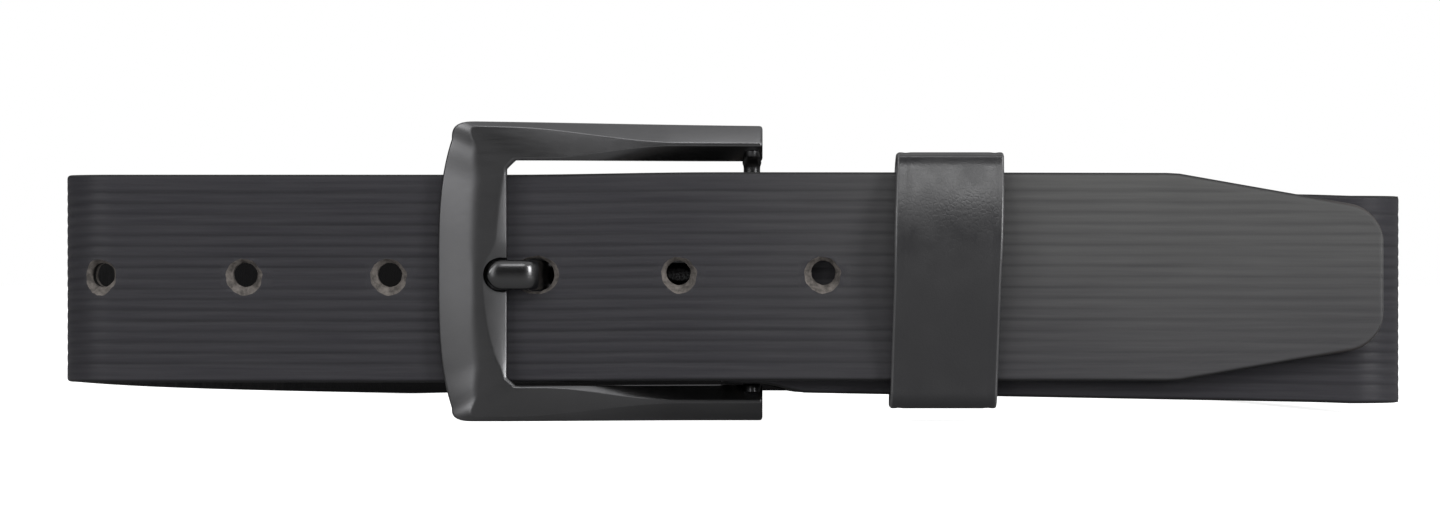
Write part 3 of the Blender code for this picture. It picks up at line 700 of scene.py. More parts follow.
def plyTree():
    tree = bpy.data.node_groups.new("strapPly", "GeometryNodeTree")
    face = tree.interface
    face.new_socket("Geometry", in_out="INPUT", socket_type="NodeSocketGeometry")
    face.new_socket("Profile", in_out="INPUT", socket_type="NodeSocketObject")
    for label, value in (("Edge Round", 0.0006), ("Rib Pitch", 0.0018), ("Rib Depth", 0.00006),
                         ("Rib Seed", 4.0)):
        face.new_socket(label, in_out="INPUT", socket_type="NodeSocketFloat").default_value = value
    face.new_socket("Material", in_out="INPUT", socket_type="NodeSocketMaterial")
    face.new_socket("Geometry", in_out="OUTPUT", socket_type="NodeSocketGeometry")
    given = tree.nodes.new("NodeGroupInput").outputs
    result = tree.nodes.new("NodeGroupOutput").inputs

    def named(label, kind="FLOAT"):
        node = tree.nodes.new("GeometryNodeInputNamedAttribute")
        node.data_type = kind
        node.inputs["Name"].default_value = label
        return node.outputs["Attribute"]

    def store(geometry, label, value, kind="FLOAT"):
        node = tree.nodes.new("GeometryNodeStoreNamedAttribute")
        node.data_type = kind
        node.domain = "POINT"
        plug(tree, node.inputs["Geometry"], geometry)
        node.inputs["Name"].default_value = label
        plug(tree, node.inputs["Value"], value)
        return node.outputs["Geometry"]

    rail = tree.nodes.new("GeometryNodeMeshToCurve")
    plug(tree, rail.inputs["Mesh"], given["Geometry"])
    info = tree.nodes.new("GeometryNodeObjectInfo")
    plug(tree, info.inputs["Object"], given["Profile"])
    outline = tree.nodes.new("GeometryNodeMeshToCurve")
    plug(tree, outline.inputs["Mesh"], info.outputs["Geometry"])
    sweep = tree.nodes.new("GeometryNodeCurveToMesh")
    plug(tree, sweep.inputs["Curve"], rail.outputs[0])
    plug(tree, sweep.inputs["Profile Curve"], outline.outputs[0])
    sweep.inputs["Fill Caps"].default_value = True

    # height above the strap's middle, and the groove that falls there
    flat = calc(tree, "SUBTRACT", named("half"), given["Edge Round"])
    rise = calc(tree, "MULTIPLY_ADD", named("across"), flat, named("reach"))
    phase = calc(tree, "DIVIDE", rise, given["Rib Pitch"])
    wave = calc(tree, "ABSOLUTE", calc(tree, "SINE", calc(tree, "MULTIPLY", phase, math.pi)))
    groove = calc(tree, "SUBTRACT", 1.0, calc(tree, "POWER", wave, 0.7))
    ribNumber = calc(tree, "FLOOR", calc(tree, "ADD", phase, 0.5))
    where = tree.nodes.new("ShaderNodeCombineXYZ")
    plug(tree, where.inputs[0], calc(tree, "MULTIPLY", named("along"), 28.0))
    plug(tree, where.inputs[1], calc(tree, "MULTIPLY", ribNumber, 7.3))
    plug(tree, where.inputs[2], given["Rib Seed"])
    uneven = remap(tree, noise(tree, where.outputs[0], 1.0, 2.0, 0.6), 0.36, 0.64, 0.5, 1.15)
    cut = calc(tree, "MULTIPLY", calc(tree, "MULTIPLY", groove, uneven),
               calc(tree, "MULTIPLY", named("ribbed"), named("ribbing")))
    deep = calc(tree, "MAXIMUM", named("deep"), named("sink"))
    deep = calc(tree, "MULTIPLY_ADD", cut, given["Rib Depth"], deep)

    upward = tree.nodes.new("ShaderNodeCombineXYZ")
    plug(tree, upward.inputs[2], calc(tree, "ADD", named("middle"), rise))
    spot = vectorCalc(tree, "SUBTRACT", vectorCalc(tree, "ADD", named("station", "FLOAT_VECTOR"),
                                                   upward.outputs[0]),
                      vectorCalc(tree, "SCALE", named("outward", "FLOAT_VECTOR"), deep))
    flow = tree.nodes.new("ShaderNodeCombineXYZ")
    plug(tree, flow.inputs[0], named("along"))
    plug(tree, flow.inputs[1], rise)
    plug(tree, flow.inputs[2], named("deep"))
    shape = store(sweep.outputs[0], "flow", flow.outputs[0], "FLOAT_VECTOR")
    shape = store(shape, "rawEdge", calc(tree, "MULTIPLY", named("edge"), named("rawShare")))
    shape = store(shape, "groove", cut)
    moved = tree.nodes.new("GeometryNodeSetPosition")
    plug(tree, moved.inputs["Geometry"], shape)
    plug(tree, moved.inputs["Position"], spot)
    whole = tree.nodes.new("GeometryNodeRealizeInstances")
    plug(tree, whole.inputs[0], moved.outputs[0])
    dressed = tree.nodes.new("GeometryNodeSetMaterial")
    plug(tree, dressed.inputs["Geometry"], whole.outputs[0])
    plug(tree, dressed.inputs["Material"], given["Material"])
    plug(tree, result[0], dressed.outputs[0])
    return tree


def setInputs(modifier, tree, **values):
    keys = {item.name: item.identifier for item in tree.interface.items_tree
            if item.in_out == "INPUT"}
    for label, value in values.items():
        modifier[keys[label.replace("_", " ")]] = value


def plyPiece(name, tree, first, last, outline, material, ribDepth, edgeRound):
    rail = railObject(name, first, last, edgeRound)
    modifier = rail.modifiers.new("strapPly", "NODES")
    modifier.node_group = tree
    setInputs(modifier, tree, Profile=outline, Edge_Round=edgeRound * mm,
              Rib_Pitch=strap["ribPitch"] * mm, Rib_Depth=ribDepth * mm, Material=material)
    made = finished(rail)
    for layer in [a.name for a in made.data.attributes]:
        if layer in ("along", "across", "deep", "reach", "middle", "half", "sink", "ribbed",
                     "ribbing", "rawShare", "station", "outward"):
            made.data.attributes.remove(made.data.attributes[layer])
    return faceOut(made)


def rowTree():
    # copies of one object at even steps, with one left out and a rise over part of the way
    tree = bpy.data.node_groups.new("evenRow", "GeometryNodeTree")
    face = tree.interface
    face.new_socket("Geometry", in_out="INPUT", socket_type="NodeSocketGeometry")
    face.new_socket("Piece", in_out="INPUT", socket_type="NodeSocketObject")
    face.new_socket("Count", in_out="INPUT", socket_type="NodeSocketInt").default_value = 2
    face.new_socket("Leave Out", in_out="INPUT", socket_type="NodeSocketInt").default_value = -1
    for label in ("Start", "Step", "Rise"):
        face.new_socket(label, in_out="INPUT", socket_type="NodeSocketVector")
    for label in ("Rise From", "Rise To"):
        face.new_socket(label, in_out="INPUT", socket_type="NodeSocketFloat")
    face.new_socket("Material", in_out="INPUT", socket_type="NodeSocketMaterial")
    face.new_socket("Geometry", in_out="OUTPUT", socket_type="NodeSocketGeometry")
    given = tree.nodes.new("NodeGroupInput").outputs
    result = tree.nodes.new("NodeGroupOutput").inputs
    spots = tree.nodes.new("GeometryNodeMeshLine")
    plug(tree, spots.inputs["Count"], given["Count"])
    plug(tree, spots.inputs["Start Location"], given["Start"])
    plug(tree, spots.inputs["Offset"], given["Step"])
    position = tree.nodes.new("GeometryNodeInputPosition").outputs[0]
    parts = tree.nodes.new("ShaderNodeSeparateXYZ")
    plug(tree, parts.inputs[0], position)
    share = remap(tree, parts.outputs[0], given["Rise From"], given["Rise To"], 0.0, 1.0, "SMOOTHSTEP")
    lifted = tree.nodes.new("GeometryNodeSetPosition")
    plug(tree, lifted.inputs["Geometry"], spots.outputs[0])
    plug(tree, lifted.inputs["Offset"], vectorCalc(tree, "SCALE", given["Rise"], share))
    info = tree.nodes.new("GeometryNodeObjectInfo")
    plug(tree, info.inputs["Object"], given["Piece"])
    wanted = tree.nodes.new("FunctionNodeCompare")
    wanted.data_type = "INT"
    wanted.operation = "NOT_EQUAL"
    order = tree.nodes.new("GeometryNodeInputIndex").outputs[0]
    whole = [s for s in wanted.inputs if s.type == "INT"]
    plug(tree, whole[0], order)
    plug(tree, whole[1], given["Leave Out"])
    copies = tree.nodes.new("GeometryNodeInstanceOnPoints")
    plug(tree, copies.inputs["Points"], lifted.outputs[0])
    plug(tree, copies.inputs["Selection"], wanted.outputs[0])
    plug(tree, copies.inputs["Instance"], info.outputs["Geometry"])
    real = tree.nodes.new("GeometryNodeRealizeInstances")
    plug(tree, real.inputs[0], copies.outputs[0])
    dressed = tree.nodes.new("GeometryNodeSetMaterial")
    plug(tree, dressed.inputs["Geometry"], real.outputs[0])
    plug(tree, dressed.inputs["Material"], given["Material"])
    plug(tree, result[0], dressed.outputs[0])
    return tree


def inRow(name, tree, piece, material, **values):
    holder = addObject(name, bpy.data.meshes.new(name))
    modifier = holder.modifiers.new("evenRow", "NODES")
    modifier.node_group = tree
    setInputs(modifier, tree, Piece=piece, Material=material, **values)
    made = finished(holder)
    bpy.data.objects.remove(piece)
    return made


holes = {
    "count": 6,
    "pitch": 24.35,
    "pinHole": 3,
    "pinX": -33.55,
    "radius": 2.05,
    "rimRadius": 3.1,
    "rimDeep": 1.3,
    "rimShiftX": -0.2,
    "rimShiftZ": -0.4,
    "unevenRim": 0.16,
    "sides": 40,
}


def punchTool(name, rings, seed):
    # rings are (y, middle x, straight half length, radius, unevenness, rise), front to back
    rng = np.random.default_rng(seed)
    sides = holes["sides"]
    torn = rng.normal(0, 1, sides)
    torn = (torn + np.roll(torn, 1) + np.roll(torn, -1)) / 3
    loops = []
    for y, x, reach, radius, rough, *rise in rings:
        loop = []
        for k in range(sides):
            a = 2 * math.pi * k / sides
            r = radius + rough * torn[k]
            side = reach if math.cos(a) >= 0 else -reach
            loop.append((x + side + r * math.cos(a), y, r * math.sin(a) + sum(rise)))
        loops.append(loop)
    return lofted(name, loops, [finish["fibre"]])


def punches(tree):
    uneven, deep = holes["unevenRim"], strap["thickness"] + 2.0
    wide, slim = holes["rimRadius"], holes["radius"]
    flare = (wide - slim) / holes["rimDeep"]
    shiftX, shiftZ = holes["rimShiftX"], holes["rimShiftZ"]
    rings = [
        (-0.5, shiftX, 0, wide + 0.5 * flare, uneven, shiftZ), (0.0, shiftX, 0, wide, uneven, shiftZ),
        (0.6 * holes["rimDeep"], 0.3 * shiftX, 0, slim + 0.3 * (wide - slim), uneven, 0.3 * shiftZ),
        (holes["rimDeep"], 0, 0, slim, uneven / 2, 0), (deep, 0, 0, slim, 0, 0),
    ]
    first = holes["pinX"] - holes["pinHole"] * holes["pitch"]
    # the hole furthest left lies on the corner and is punched square to the leather there
    turn = math.asin((-cornerX - first) / strap["cornerRadius"])
    corner = punchTool("cornerPunch", [(-1.5, *rings[0][1:])] + rings, 16)
    reach = strap["cornerRadius"]
    for v in corner.data.vertices:
        x, y = v.co.x / mm, v.co.y / mm
        v.co.x = (-cornerX + x * math.cos(turn) - (reach - y) * math.sin(turn)) * mm
        v.co.y = (cornerY - x * math.sin(turn) - (reach - y) * math.cos(turn)) * mm
        v.co.z += (level["left"] + pinLift) * mm
    row = inRow("punchRow", tree, punchTool("punch", rings, 11), finish["fibre"],
                Count=holes["count"] - 1, Leave_Out=holes["pinHole"] - 1,
                Start=((first + holes["pitch"]) * mm, place["runY"] * mm, (level["left"] + pinLift) * mm),
                Step=(holes["pitch"] * mm, 0.0, 0.0),
                Rise=(0.0, (place["billetY"] - place["runY"]) * mm, (level["billet"] - level["left"]) * mm),
                Rise_From=strap["riseStart"] * mm, Rise_To=strap["riseEnd"] * mm)
    faceY = mix(place["runY"], place["billetY"], riseShare(holes["pinX"]))
    pin = punchTool("pinPunch", [
        (-0.5, -33.4, 0.5, 3.6, 0.1), (0.0, -33.4, 0.45, 3.2, 0.12), (0.5, -33.4, 0.4, 2.85, 0.06),
        (1.4, -33.1, 0.75, 2.78, 0), (3.6, -32.45, 0.95, 2.78, 0), (5.2, -32.45, 0.95, 2.78, 0),
    ], 12)
    for v in pin.data.vertices:
        v.co.y += faceY * mm
        v.co.z += (level["left"] + pinLift) * mm
    return corner, row, pin


def slotTool():
    # the prong's slot through the fold
    low, high = place["hingeX"] - 7.3, place["hingeX"] + 6.5
    reach = (high - low) / 2 - 2.9
    tool = punchTool("slotPunch", [(-7.3, (low + high) / 2, reach, 2.9, 0),
                                   (7.3, (low + high) / 2, reach, 2.9, 0)], 13)
    for v in tool.data.vertices:
        v.co.y += place["hingeY"] * mm
        v.co.z += (level["left"] + pinLift) * mm
    return tool


studs = {
    "x": 17.2,
    "spread": 9.5,
    "capRadius": 4.0,
    "capThick": 0.6,
    "recess": 0.9,
    "headThick": 1.2,
    "barrelRadius": 2.0,
    "slotWidth": 0.9,
    "slotDeep": 0.45,
}


def studTools(deep):
    made = []
    for sign in (-1, 1):
        rings = [(place["runY"] - 1, 0, 0, studs["capRadius"] + 0.3, 0),
                 (place["runY"] + studs["recess"], 0, 0, studs["capRadius"] + 0.3, 0)]
        startY = place["runY"] + (studs["recess"] - 0.2 if deep else -1)
        bore = [(y, 0, 0, studs["barrelRadius"] + 0.3, 0) for y in (startY, place["hingeY"] + 8)]
        for part in ([rings, bore] if deep else [bore]):
            tool = punchTool("studPunch", part, 14)
            for v in tool.data.vertices:
                v.co.x += studs["x"] * mm
                v.co.z += (runLevel(studs["x"]) + sign * studs["spread"]) * mm
            made.append(tool)
    return made


def strapPieces():
    tree, row = plyTree(), rowTree()
    layers = {
        "Face": (0.0, strap["faceDeep"], strap["edgeRound"], 0.1, strap["acrossCount"], "strap",
                 strap["ribDepth"], "strap_leather", "face"),
        "Core": (strap["coreFrom"], strap["coreTo"], strap["plyRound"], 0.1, 14, "fibre",
                 0.0, "core_board", "core"),
        "Lining": (strap["liningFrom"], strap["thickness"], strap["plyRound"], 0.35, 14, "lining",
                   0.0, "lining_leather", "lining"),
    }
    last = len(line) - 1
    for label, (near, far, roundNear, roundFar, count, coat, ribs, slotName, node) in layers.items():
        outline = profileObject("outline" + label, near, far, roundNear, roundFar, count)
        stretches = {
            "buckleStrap": (0, bendFrom), "rearStrap": (bendFrom, bendTo), "freeStrap": (bendTo, last),
        }
        for name, (first, final) in stretches.items():
            made = plyPiece(name + label, tree, first, final, outline, finish[coat], ribs, roundNear)
            made.data.materials.clear()
            made.data.materials.append(finish[coat])
            made.data.materials.append(finish["lining" if label == "Core" else "fibre"])
            if name == "freeStrap":
                made = cutWith(made, punches(row))
                if label != "Lining":
                    paintRims(made, label == "Face")
            if name == "buckleStrap":
                made = cutWith(made, [slotTool()] + studTools(label == "Face"))
            smoothShade(made)
            if name == "rearStrap":
                y = place["rearY"] * mm
                span = line[bendFrom][0] * mm
                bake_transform(made, "buckle_half", "free_half", start=(span, y, 0.0), end=(-span, y, 0.0))
            elif name == "buckleStrap":
                give(made, "buckle_half", slotName, "buckle_end_" + node)
            else:
                give(made, "free_half", slotName, "side_" + node, "billet_" + node)
        bpy.data.objects.remove(outline)
        print("strap", label.lower(), "made")
    return row


def sunkBelow(x, y):
    # depth of a point under the outer face of the billet or the left corner
    if x < -cornerX:
        return strap["cornerRadius"] - math.hypot(x + cornerX, y - cornerY)
    return y - mix(place["runY"], place["billetY"], riseShare(x))


def paintRims(obj, cone):
    # the torn cone round each hole shows the raw fibre, and the straight wall behind it takes the dark
    # lining colour
    first = holes["pinX"] - holes["pinHole"] * holes["pitch"]
    spots = [first + k * holes["pitch"] for k in range(holes["count"])]
    for poly in obj.data.polygons:
        x, y, z = poly.center / mm
        near = any(abs(x - s) < 4.6 for s in spots) and abs(z - level["left"]) < 4.6
        if near and y < cornerY and (sunkBelow(x, y) > 0.17 if cone else abs(poly.normal.y) < 0.5):
            poly.material_index = 1


row = strapPieces()

buckle = {
    "windowHalf": {1: 18.65, -1: 19.2},  # 1 is the upper half and -1 the lower
    "windowLeft": -38.0,
    "windowCorner": 1.5,
    "barBow": 2.3,
    "bowPower": 3.2,
    "barThick": 3.0,
    "barGap": 0.5,
    "cornerRound": 4.2,
    "cornerHigh": {1: 3.0, -1: 2.2},
    "cornerFlat": 0.66,
    "endHalf": {1: 24.6, -1: 25.2},
    "earThick": 4.4,
    "earX": 1.0,
    "facetShare": 0.52,
    "facetDrop": 1.5,
    "lensWidth": 3.7,
    "lensDrop": 1.0,
    "lensHalf": 18.0,
    "lensAbove": 0.45,
    "roofLength": 26.0,
    "notchDeep": 1.5,
    "notchReach": 3.8,
    "prongWidth": 5.0,
    "notchSpare": 0.5,
}


def roundCorners(corners, radii, steps=4):
    # outline with each corner replaced by a short curve that stays inside its sides
    points, mask = [], []
    count = len(corners)
    for k in range(count):
        p = np.array(corners[k])
        a, b = np.array(corners[k - 1]) - p, np.array(corners[(k + 1) % count]) - p
        la, lb = np.linalg.norm(a), np.linalg.norm(b)
        cosine = np.clip(a @ b / (la * lb), -0.9999, 0.9999)
        reach = radii[k] / math.tan(math.acos(cosine) / 2)
        reach = min(reach, 0.45 * la, 0.45 * lb)
        start, end = p + a / la * reach, p + b / lb * reach
        sharp = radii[k] < 1.0 and cosine > -0.97
        for s in np.linspace(0, 1, steps + 1):
            points.append((1 - s) ** 2 * start + 2 * s * (1 - s) * p + s * s * end)
            mask.append(1.0 - 2 * abs(s - 0.5) if sharp else 0.0)
    return points, mask


def frameRail(sign):
    # outer and inner points of one half, from the ear to the middle of the front bar
    windowHalf, endHalf, cornerHigh = (buckle[key][sign] for key in ("windowHalf", "endHalf", "cornerHigh"))
    top = place["frameHigh"] - place["frameMiddle"]
    outerCorner = place["frameLeftX"] + buckle["barBow"] + buckle["cornerRound"]
    innerCorner = buckle["windowLeft"] + buckle["windowCorner"]
    rail = []
    for t in np.linspace(0, 1, 40):
        outer = (mix(place["frameEndX"], outerCorner, t), mix(endHalf, top, t))
        rail.append((outer, (mix(place["frameEndX"], innerCorner, t), windowHalf), 0.0))
    for t in np.linspace(0, 1, 15)[1:-1]:
        a = t * math.pi / 2
        outer = (outerCorner - buckle["cornerRound"] * math.sin(a) ** buckle["cornerFlat"],
                 top - cornerHigh * (1 - math.cos(a) ** buckle["cornerFlat"]))
        inner = (innerCorner - buckle["windowCorner"] * t,
                 windowHalf - buckle["windowCorner"] * (1 - (1 - t) ** 0.9))
        rail.append((outer, inner, 0.75 * float(ease(t))))
    for t in np.linspace(1, 0, 25):
        bowed = place["frameLeftX"] + buckle["barBow"] * t ** buckle["bowPower"]
        rail.append(((bowed, (top - cornerHigh) * t),
                     (buckle["windowLeft"], (windowHalf - buckle["windowCorner"]) * t),
                     0.75 + 0.25 * float(ease((1 - t) / 0.25))))
    return rail


def frameSection(outer, inner, onBar, sign, shrink=0.0):
    outer, inner = np.array(outer), np.array(inner)
    width = np.linalg.norm(outer - inner)
    way = (outer - inner) / width
    x = (outer[0] + inner[0]) / 2
    t = ease((buckle["earX"] - inner[0]) / (buckle["earX"] - buckle["windowLeft"]))
    faceY = place["hingeY"] - buckle["earThick"] / 2
    backY = place["hingeY"] + buckle["earThick"] / 2
    barBack = place["runY"] - buckle["barGap"]
    faceY, backY = mix(faceY, barBack - buckle["barThick"], t), mix(backY, barBack, t)
    roof = float(ease((x - buckle["windowLeft"] - 3.0) / buckle["roofLength"]))
    height = sign * inner[1] + place["frameMiddle"] - place["prongMiddle"]
    lens = max(0.0, 1 - (height / buckle["lensHalf"]) ** 2) * onBar
    lens *= mix(1.0, buckle["lensAbove"], float(ease(height / 6)))
    innerWide = mix(mix(0.5, 0.42 * width, roof), 0.4 + buckle["lensWidth"] * lens, onBar)
    innerDrop = mix(mix(0.35, 1.55, roof), 0.3 + buckle["lensDrop"] * lens, onBar)
    outerWide = mix(mix(1.2, 0.5 * width, roof), buckle["facetShare"] * width, onBar)
    outerDrop = mix(mix(0.5, 1.35, roof), buckle["facetDrop"], onBar)
    corners = [(0.0, backY), (0.0, faceY + innerDrop), (innerWide, faceY),
               (width - outerWide, faceY), (width, faceY + outerDrop), (width, backY)]
    radii = [0.5, 0.35, mix(0.6, 1.6, onBar), mix(0.8, 9.0, onBar), 0.45, 0.5]
    points, mask = roundCorners(corners, radii)
    middle = np.mean(points, axis=0)
    ring = []
    for u, y in points:
        u, y = mix(u, middle[0], shrink / width * 2), mix(y, middle[1], shrink / buckle["earThick"] * 2)
        spot = inner + way * u
        ring.append((spot[0], y, place["frameMiddle"] + sign * spot[1]))
    return ring, mask


def buckleFrame():
    rings, masks = [], []
    ends = ((0.0, 0.55), (0.06, 0.3), (0.2, 0.1), (0.45, 0.0))
    for sign in (1, -1):
        rail = frameRail(sign)
        part, partMask = [], []
        for inset, shrink in ends:
            (ox, oz), (ix, iz), onBar = rail[0]
            ring, mask = frameSection((ox - inset, oz), (ix - inset, iz), onBar, sign, shrink)
            part.append(ring)
            partMask.append(mask)
        for outer, inner, onBar in rail[1:]:
            ring, mask = frameSection(outer, inner, onBar, sign)
            part.append(ring)
            partMask.append(mask)
        if sign > 0:
            rings, masks = part, partMask
        else:
            rings += part[::-1][1:]
            masks += partMask[::-1][1:]
    made = lofted("buckleFrame", rings, [finish["gunmetal"]], masks)
    floorY = place["runY"] - buckle["barGap"] - buckle["barThick"] + buckle["notchDeep"]
    radius = buckle["prongWidth"] / 2 + buckle["notchSpare"]
    left, right = buckle["windowLeft"] - buckle["notchReach"], buckle["windowLeft"] + 4
    reach = (right - left) / 2 - radius
    x = (left + right) / 2
    tool = punchTool("notchPunch", [
        (floorY - 6, x, reach, radius + 0.5, 0), (floorY - 1.5, x, reach, radius + 0.2, 0),
        (floorY - 1.1, x, reach, radius, 0), (floorY - 0.35, x, reach, radius - 0.12, 0),
        (floorY, x, reach, radius - 0.5, 0)], 15)
    for v in tool.data.vertices:
        v.co.z += place["prongMiddle"] * mm
    made = cutWith(made, [tool])
    smoothShade(made, 32)
    return give(made, "buckle", "gunmetal", "buckle_frame")


def turnedPiece(name, profile, x, z, material, sides=48, edge=None):
    # profile is (radius, y) from one end to the other; turned about the Y axis
    rings, masks = [], []
    for k, (radius, y) in enumerate(profile):
        rings.append([(x + radius * math.cos(a), y, z + radius * math.sin(a))
                      for a in np.linspace(0, 2 * math.pi, sides, endpoint=False)])
        masks.append([edge[k] if edge else 0.0] * sides)
    return lofted(name, rings, [material], masks)


def hingeBar():
    radius = (highOf("hinge_bar")[0] - lowOf("hinge_bar")[0]) / 2
    seat = place["frameMiddle"] - buckle["windowHalf"][-1]
    low, high = seat - 1.5, 2 * place["frameMiddle"] - seat + 1.5
    rings = []
    for z in np.concatenate([[low, low + 0.4], np.linspace(seat - 0.3, seat + 2.2, 10)]):
        flare = 1.3 * (1 - ease((z - seat + 0.3) / 2.3)) ** 2
        rings.append((z, radius + flare if z > low else radius))
    upper = [(2 * place["frameMiddle"] - z, r) for z, r in reversed(rings)]
    upper[-1] = (high, radius)
    loops = []
    widest = 1.6  # the flared ends spread front to back and stay slim sideways
    for z, r in rings + upper:
        loops.append([(place["hingeX"] + min(r, widest) * math.cos(a), place["hingeY"] + r * math.sin(a), z)
                      for a in np.linspace(0, 2 * math.pi, 32, endpoint=False)])
    made = lofted("hingeBar", loops, [finish["bar"]], [[0.0] * 32] * len(loops))
    return give(smoothShade(made), "buckle", "bar_steel", "hinge_bar")


prong = {
    "width": 5.0,
    "thick": 2.2,
    "bendRadius": 2.6,
    "bend": math.radians(68),
    "restInset": 2.1,
    "shankY": -0.5,
    "eyeWall": 1.3,
    "boreSpare": 0.3,
    "round": 2.5,
    "sides": 32,
    "darkFrom": -30.0,
}


def prongLine():
    floorY = place["runY"] - buckle["barGap"] - buckle["barThick"] + buckle["notchDeep"]
    tipY = floorY - strap["seatGap"] - prong["thick"] / 2
    shankY = place["hingeY"] + prong["shankY"]
    restX = buckle["windowLeft"] + prong["restInset"]
    r, bend = prong["bendRadius"], prong["bend"]
    drop, run = r * (1 - math.cos(bend)), r * math.sin(bend)
    slope = (shankY - tipY - 2 * drop) / math.sin(bend)
    lowerX = restX + 2 * run + slope * math.cos(bend)
    points = [(x, shankY, 0.0) for x in evenly(place["hingeX"] - 2.6, lowerX, 2.0)]
    for a in np.linspace(0, bend, 13)[1:]:
        points.append((lowerX - r * math.sin(a), shankY - r * (1 - math.cos(a)), a))
    for a in np.linspace(bend, 0, 13)[:-1]:
        points.append((restX + r * math.sin(a), tipY + r * (1 - math.cos(a)), a))
    tipX = place["prongTipX"]
    points.append((restX, tipY, 0.0))
    for x in evenly(restX - 0.6, tipX + prong["round"], 0.8):
        points.append((x, tipY, 0.0))
    for a in np.radians(np.arange(10, 89, 7)):
        points.append((tipX + prong["round"] * (1 - math.sin(a)), tipY, 0.0))
    return points, tipX


def prongPiece():
    points, tipX = prongLine()
    rings = []
    for x, y, a in points:
        into = min(max(0.0, (tipX + prong["round"] - x) / prong["round"]), 1.0)
        shrink = math.sqrt(max(1 - into ** 2, 0.0))
        wide = prong["width"] / 2 * shrink
        thick = prong["thick"] / 2 * mix(0.4, 1.0, shrink)
        ring = []
        for k in range(prong["sides"]):
            b = 2 * math.pi * (k + 0.5) / prong["sides"]
            across = wide * math.copysign(abs(math.cos(b)) ** 0.75, math.cos(b))
            deep = thick * math.copysign(abs(math.sin(b)) ** 0.85, math.sin(b))
            ring.append((x - deep * math.sin(a), y + deep * math.cos(a), place["prongMiddle"] + across))
        rings.append(ring)
    # painted shade: the shank behind the strap is coloured nearly black
    paintedShankShade = [[float(ease((x - prong["darkFrom"]) / 3))] * prong["sides"] for x, y, a in points]
    made = lofted("prongPin", rings, [finish["prong"]], paintedShankShade)
    barRadius = (highOf("hinge_bar")[0] - lowOf("hinge_bar")[0]) / 2
    bore = barRadius + prong["boreSpare"]
    low, high = place["prongMiddle"] - prong["width"] / 2, place["prongMiddle"] + prong["width"] / 2

    def upright(name, profile):
        loops = [[(place["hingeX"] + r * math.cos(a), place["hingeY"] + r * math.sin(a), z)
                  for a in np.linspace(0, 2 * math.pi, 40, endpoint=False)] for r, z in profile]
        return lofted(name, loops, [finish["prong"]])

    wall = bore + prong["eyeWall"]
    eye = upright("prongEye", [(wall - 0.5, low), (wall - 0.15, low + 0.15), (wall, low + 0.5),
                               (wall, high - 0.5), (wall - 0.15, high - 0.15), (wall - 0.5, high)])
    made = cutWith(made, [eye], "UNION")
    made = cutWith(made, [upright("eyeBore", [(bore, low - 1), (bore, high + 1)])])
    smoothShade(made, 40)
    return give(made, "prong", "gunmetal", "prong")


buckleFrame()
hingeBar()
prongPiece()
print("buckle made")


def studPieces(tree):
    x, middle = studs["x"], runLevel(studs["x"])
    start, step = middle - studs["spread"], 2 * studs["spread"]
    capY = lowOf("upper_stud_cap")[1]
    r = studs["capRadius"]
    cap = turnedPiece("cap", [(0.2, capY), (r - 0.8, capY), (r - 0.25, capY + 0.06), (r, capY + 0.25),
                              (r, capY + studs["capThick"]), (1.1, capY + studs["capThick"]),
                              (1.1, highOf("upper_stud_cap")[1])], 0, 0, finish["stud"],
                      edge=[0, 0, 1, 1, 0, 0, 0])
    slotY = capY + studs["slotDeep"]
    w = studs["slotWidth"] / 2
    slot = lofted("driverSlot", [[(-r - 1, y, -w), (r + 1, y, -w), (r + 1, y, w), (-r - 1, y, w)]
                                 for y in (capY - 1, slotY)], [finish["stud"]])
    cap = cutWith(cap, [slot])
    headY = highOf("upper_stud_post")[1] - studs["headThick"]
    startY = lowOf("upper_stud_post")[1]
    barrel = studs["barrelRadius"]
    dome = [(r * math.cos(a), headY + 0.35 + (studs["headThick"] - 0.35) * math.sin(a))
            for a in np.radians(np.arange(0, 88, 8))]
    post = turnedPiece("post", [(1.45, startY), (barrel, startY), (barrel, headY), (r - 0.1, headY),
                                (r, headY + 0.1)] + dome, 0, 0, finish["stud"],
                       edge=[0, 0, 0, 1, 1] + [0] * len(dome))
    for name, piece, kind in (("studCaps", cap, "cap"), ("studPosts", post, "post")):
        made = inRow(name, tree, piece, finish["stud"], Count=2, Start=(x * mm, 0.0, start * mm),
                     Step=(0.0, 0.0, step * mm))
        smoothShade(faceOut(made), 30)
        give(made, "buckle_half", "stud_metal", "upper_stud_" + kind, "lower_stud_" + kind)


studPieces(row)

keeper = {
    "width": 17.9,
    "thick": 1.05,
    "lean": math.radians(1.6),
    "shift": -0.65,
    "crown": 3.2,
    "fullestShare": 0.62,
    "edgeRound": 0.45,
    "butt": 0.4,
    "creaseFrom": 1.5,
    "creaseDeep": 0.09,
    "creaseWide": 0.45,
    "topCorner": 0.9,
    "lip": 1.9,
    "wire": 0.35,
}


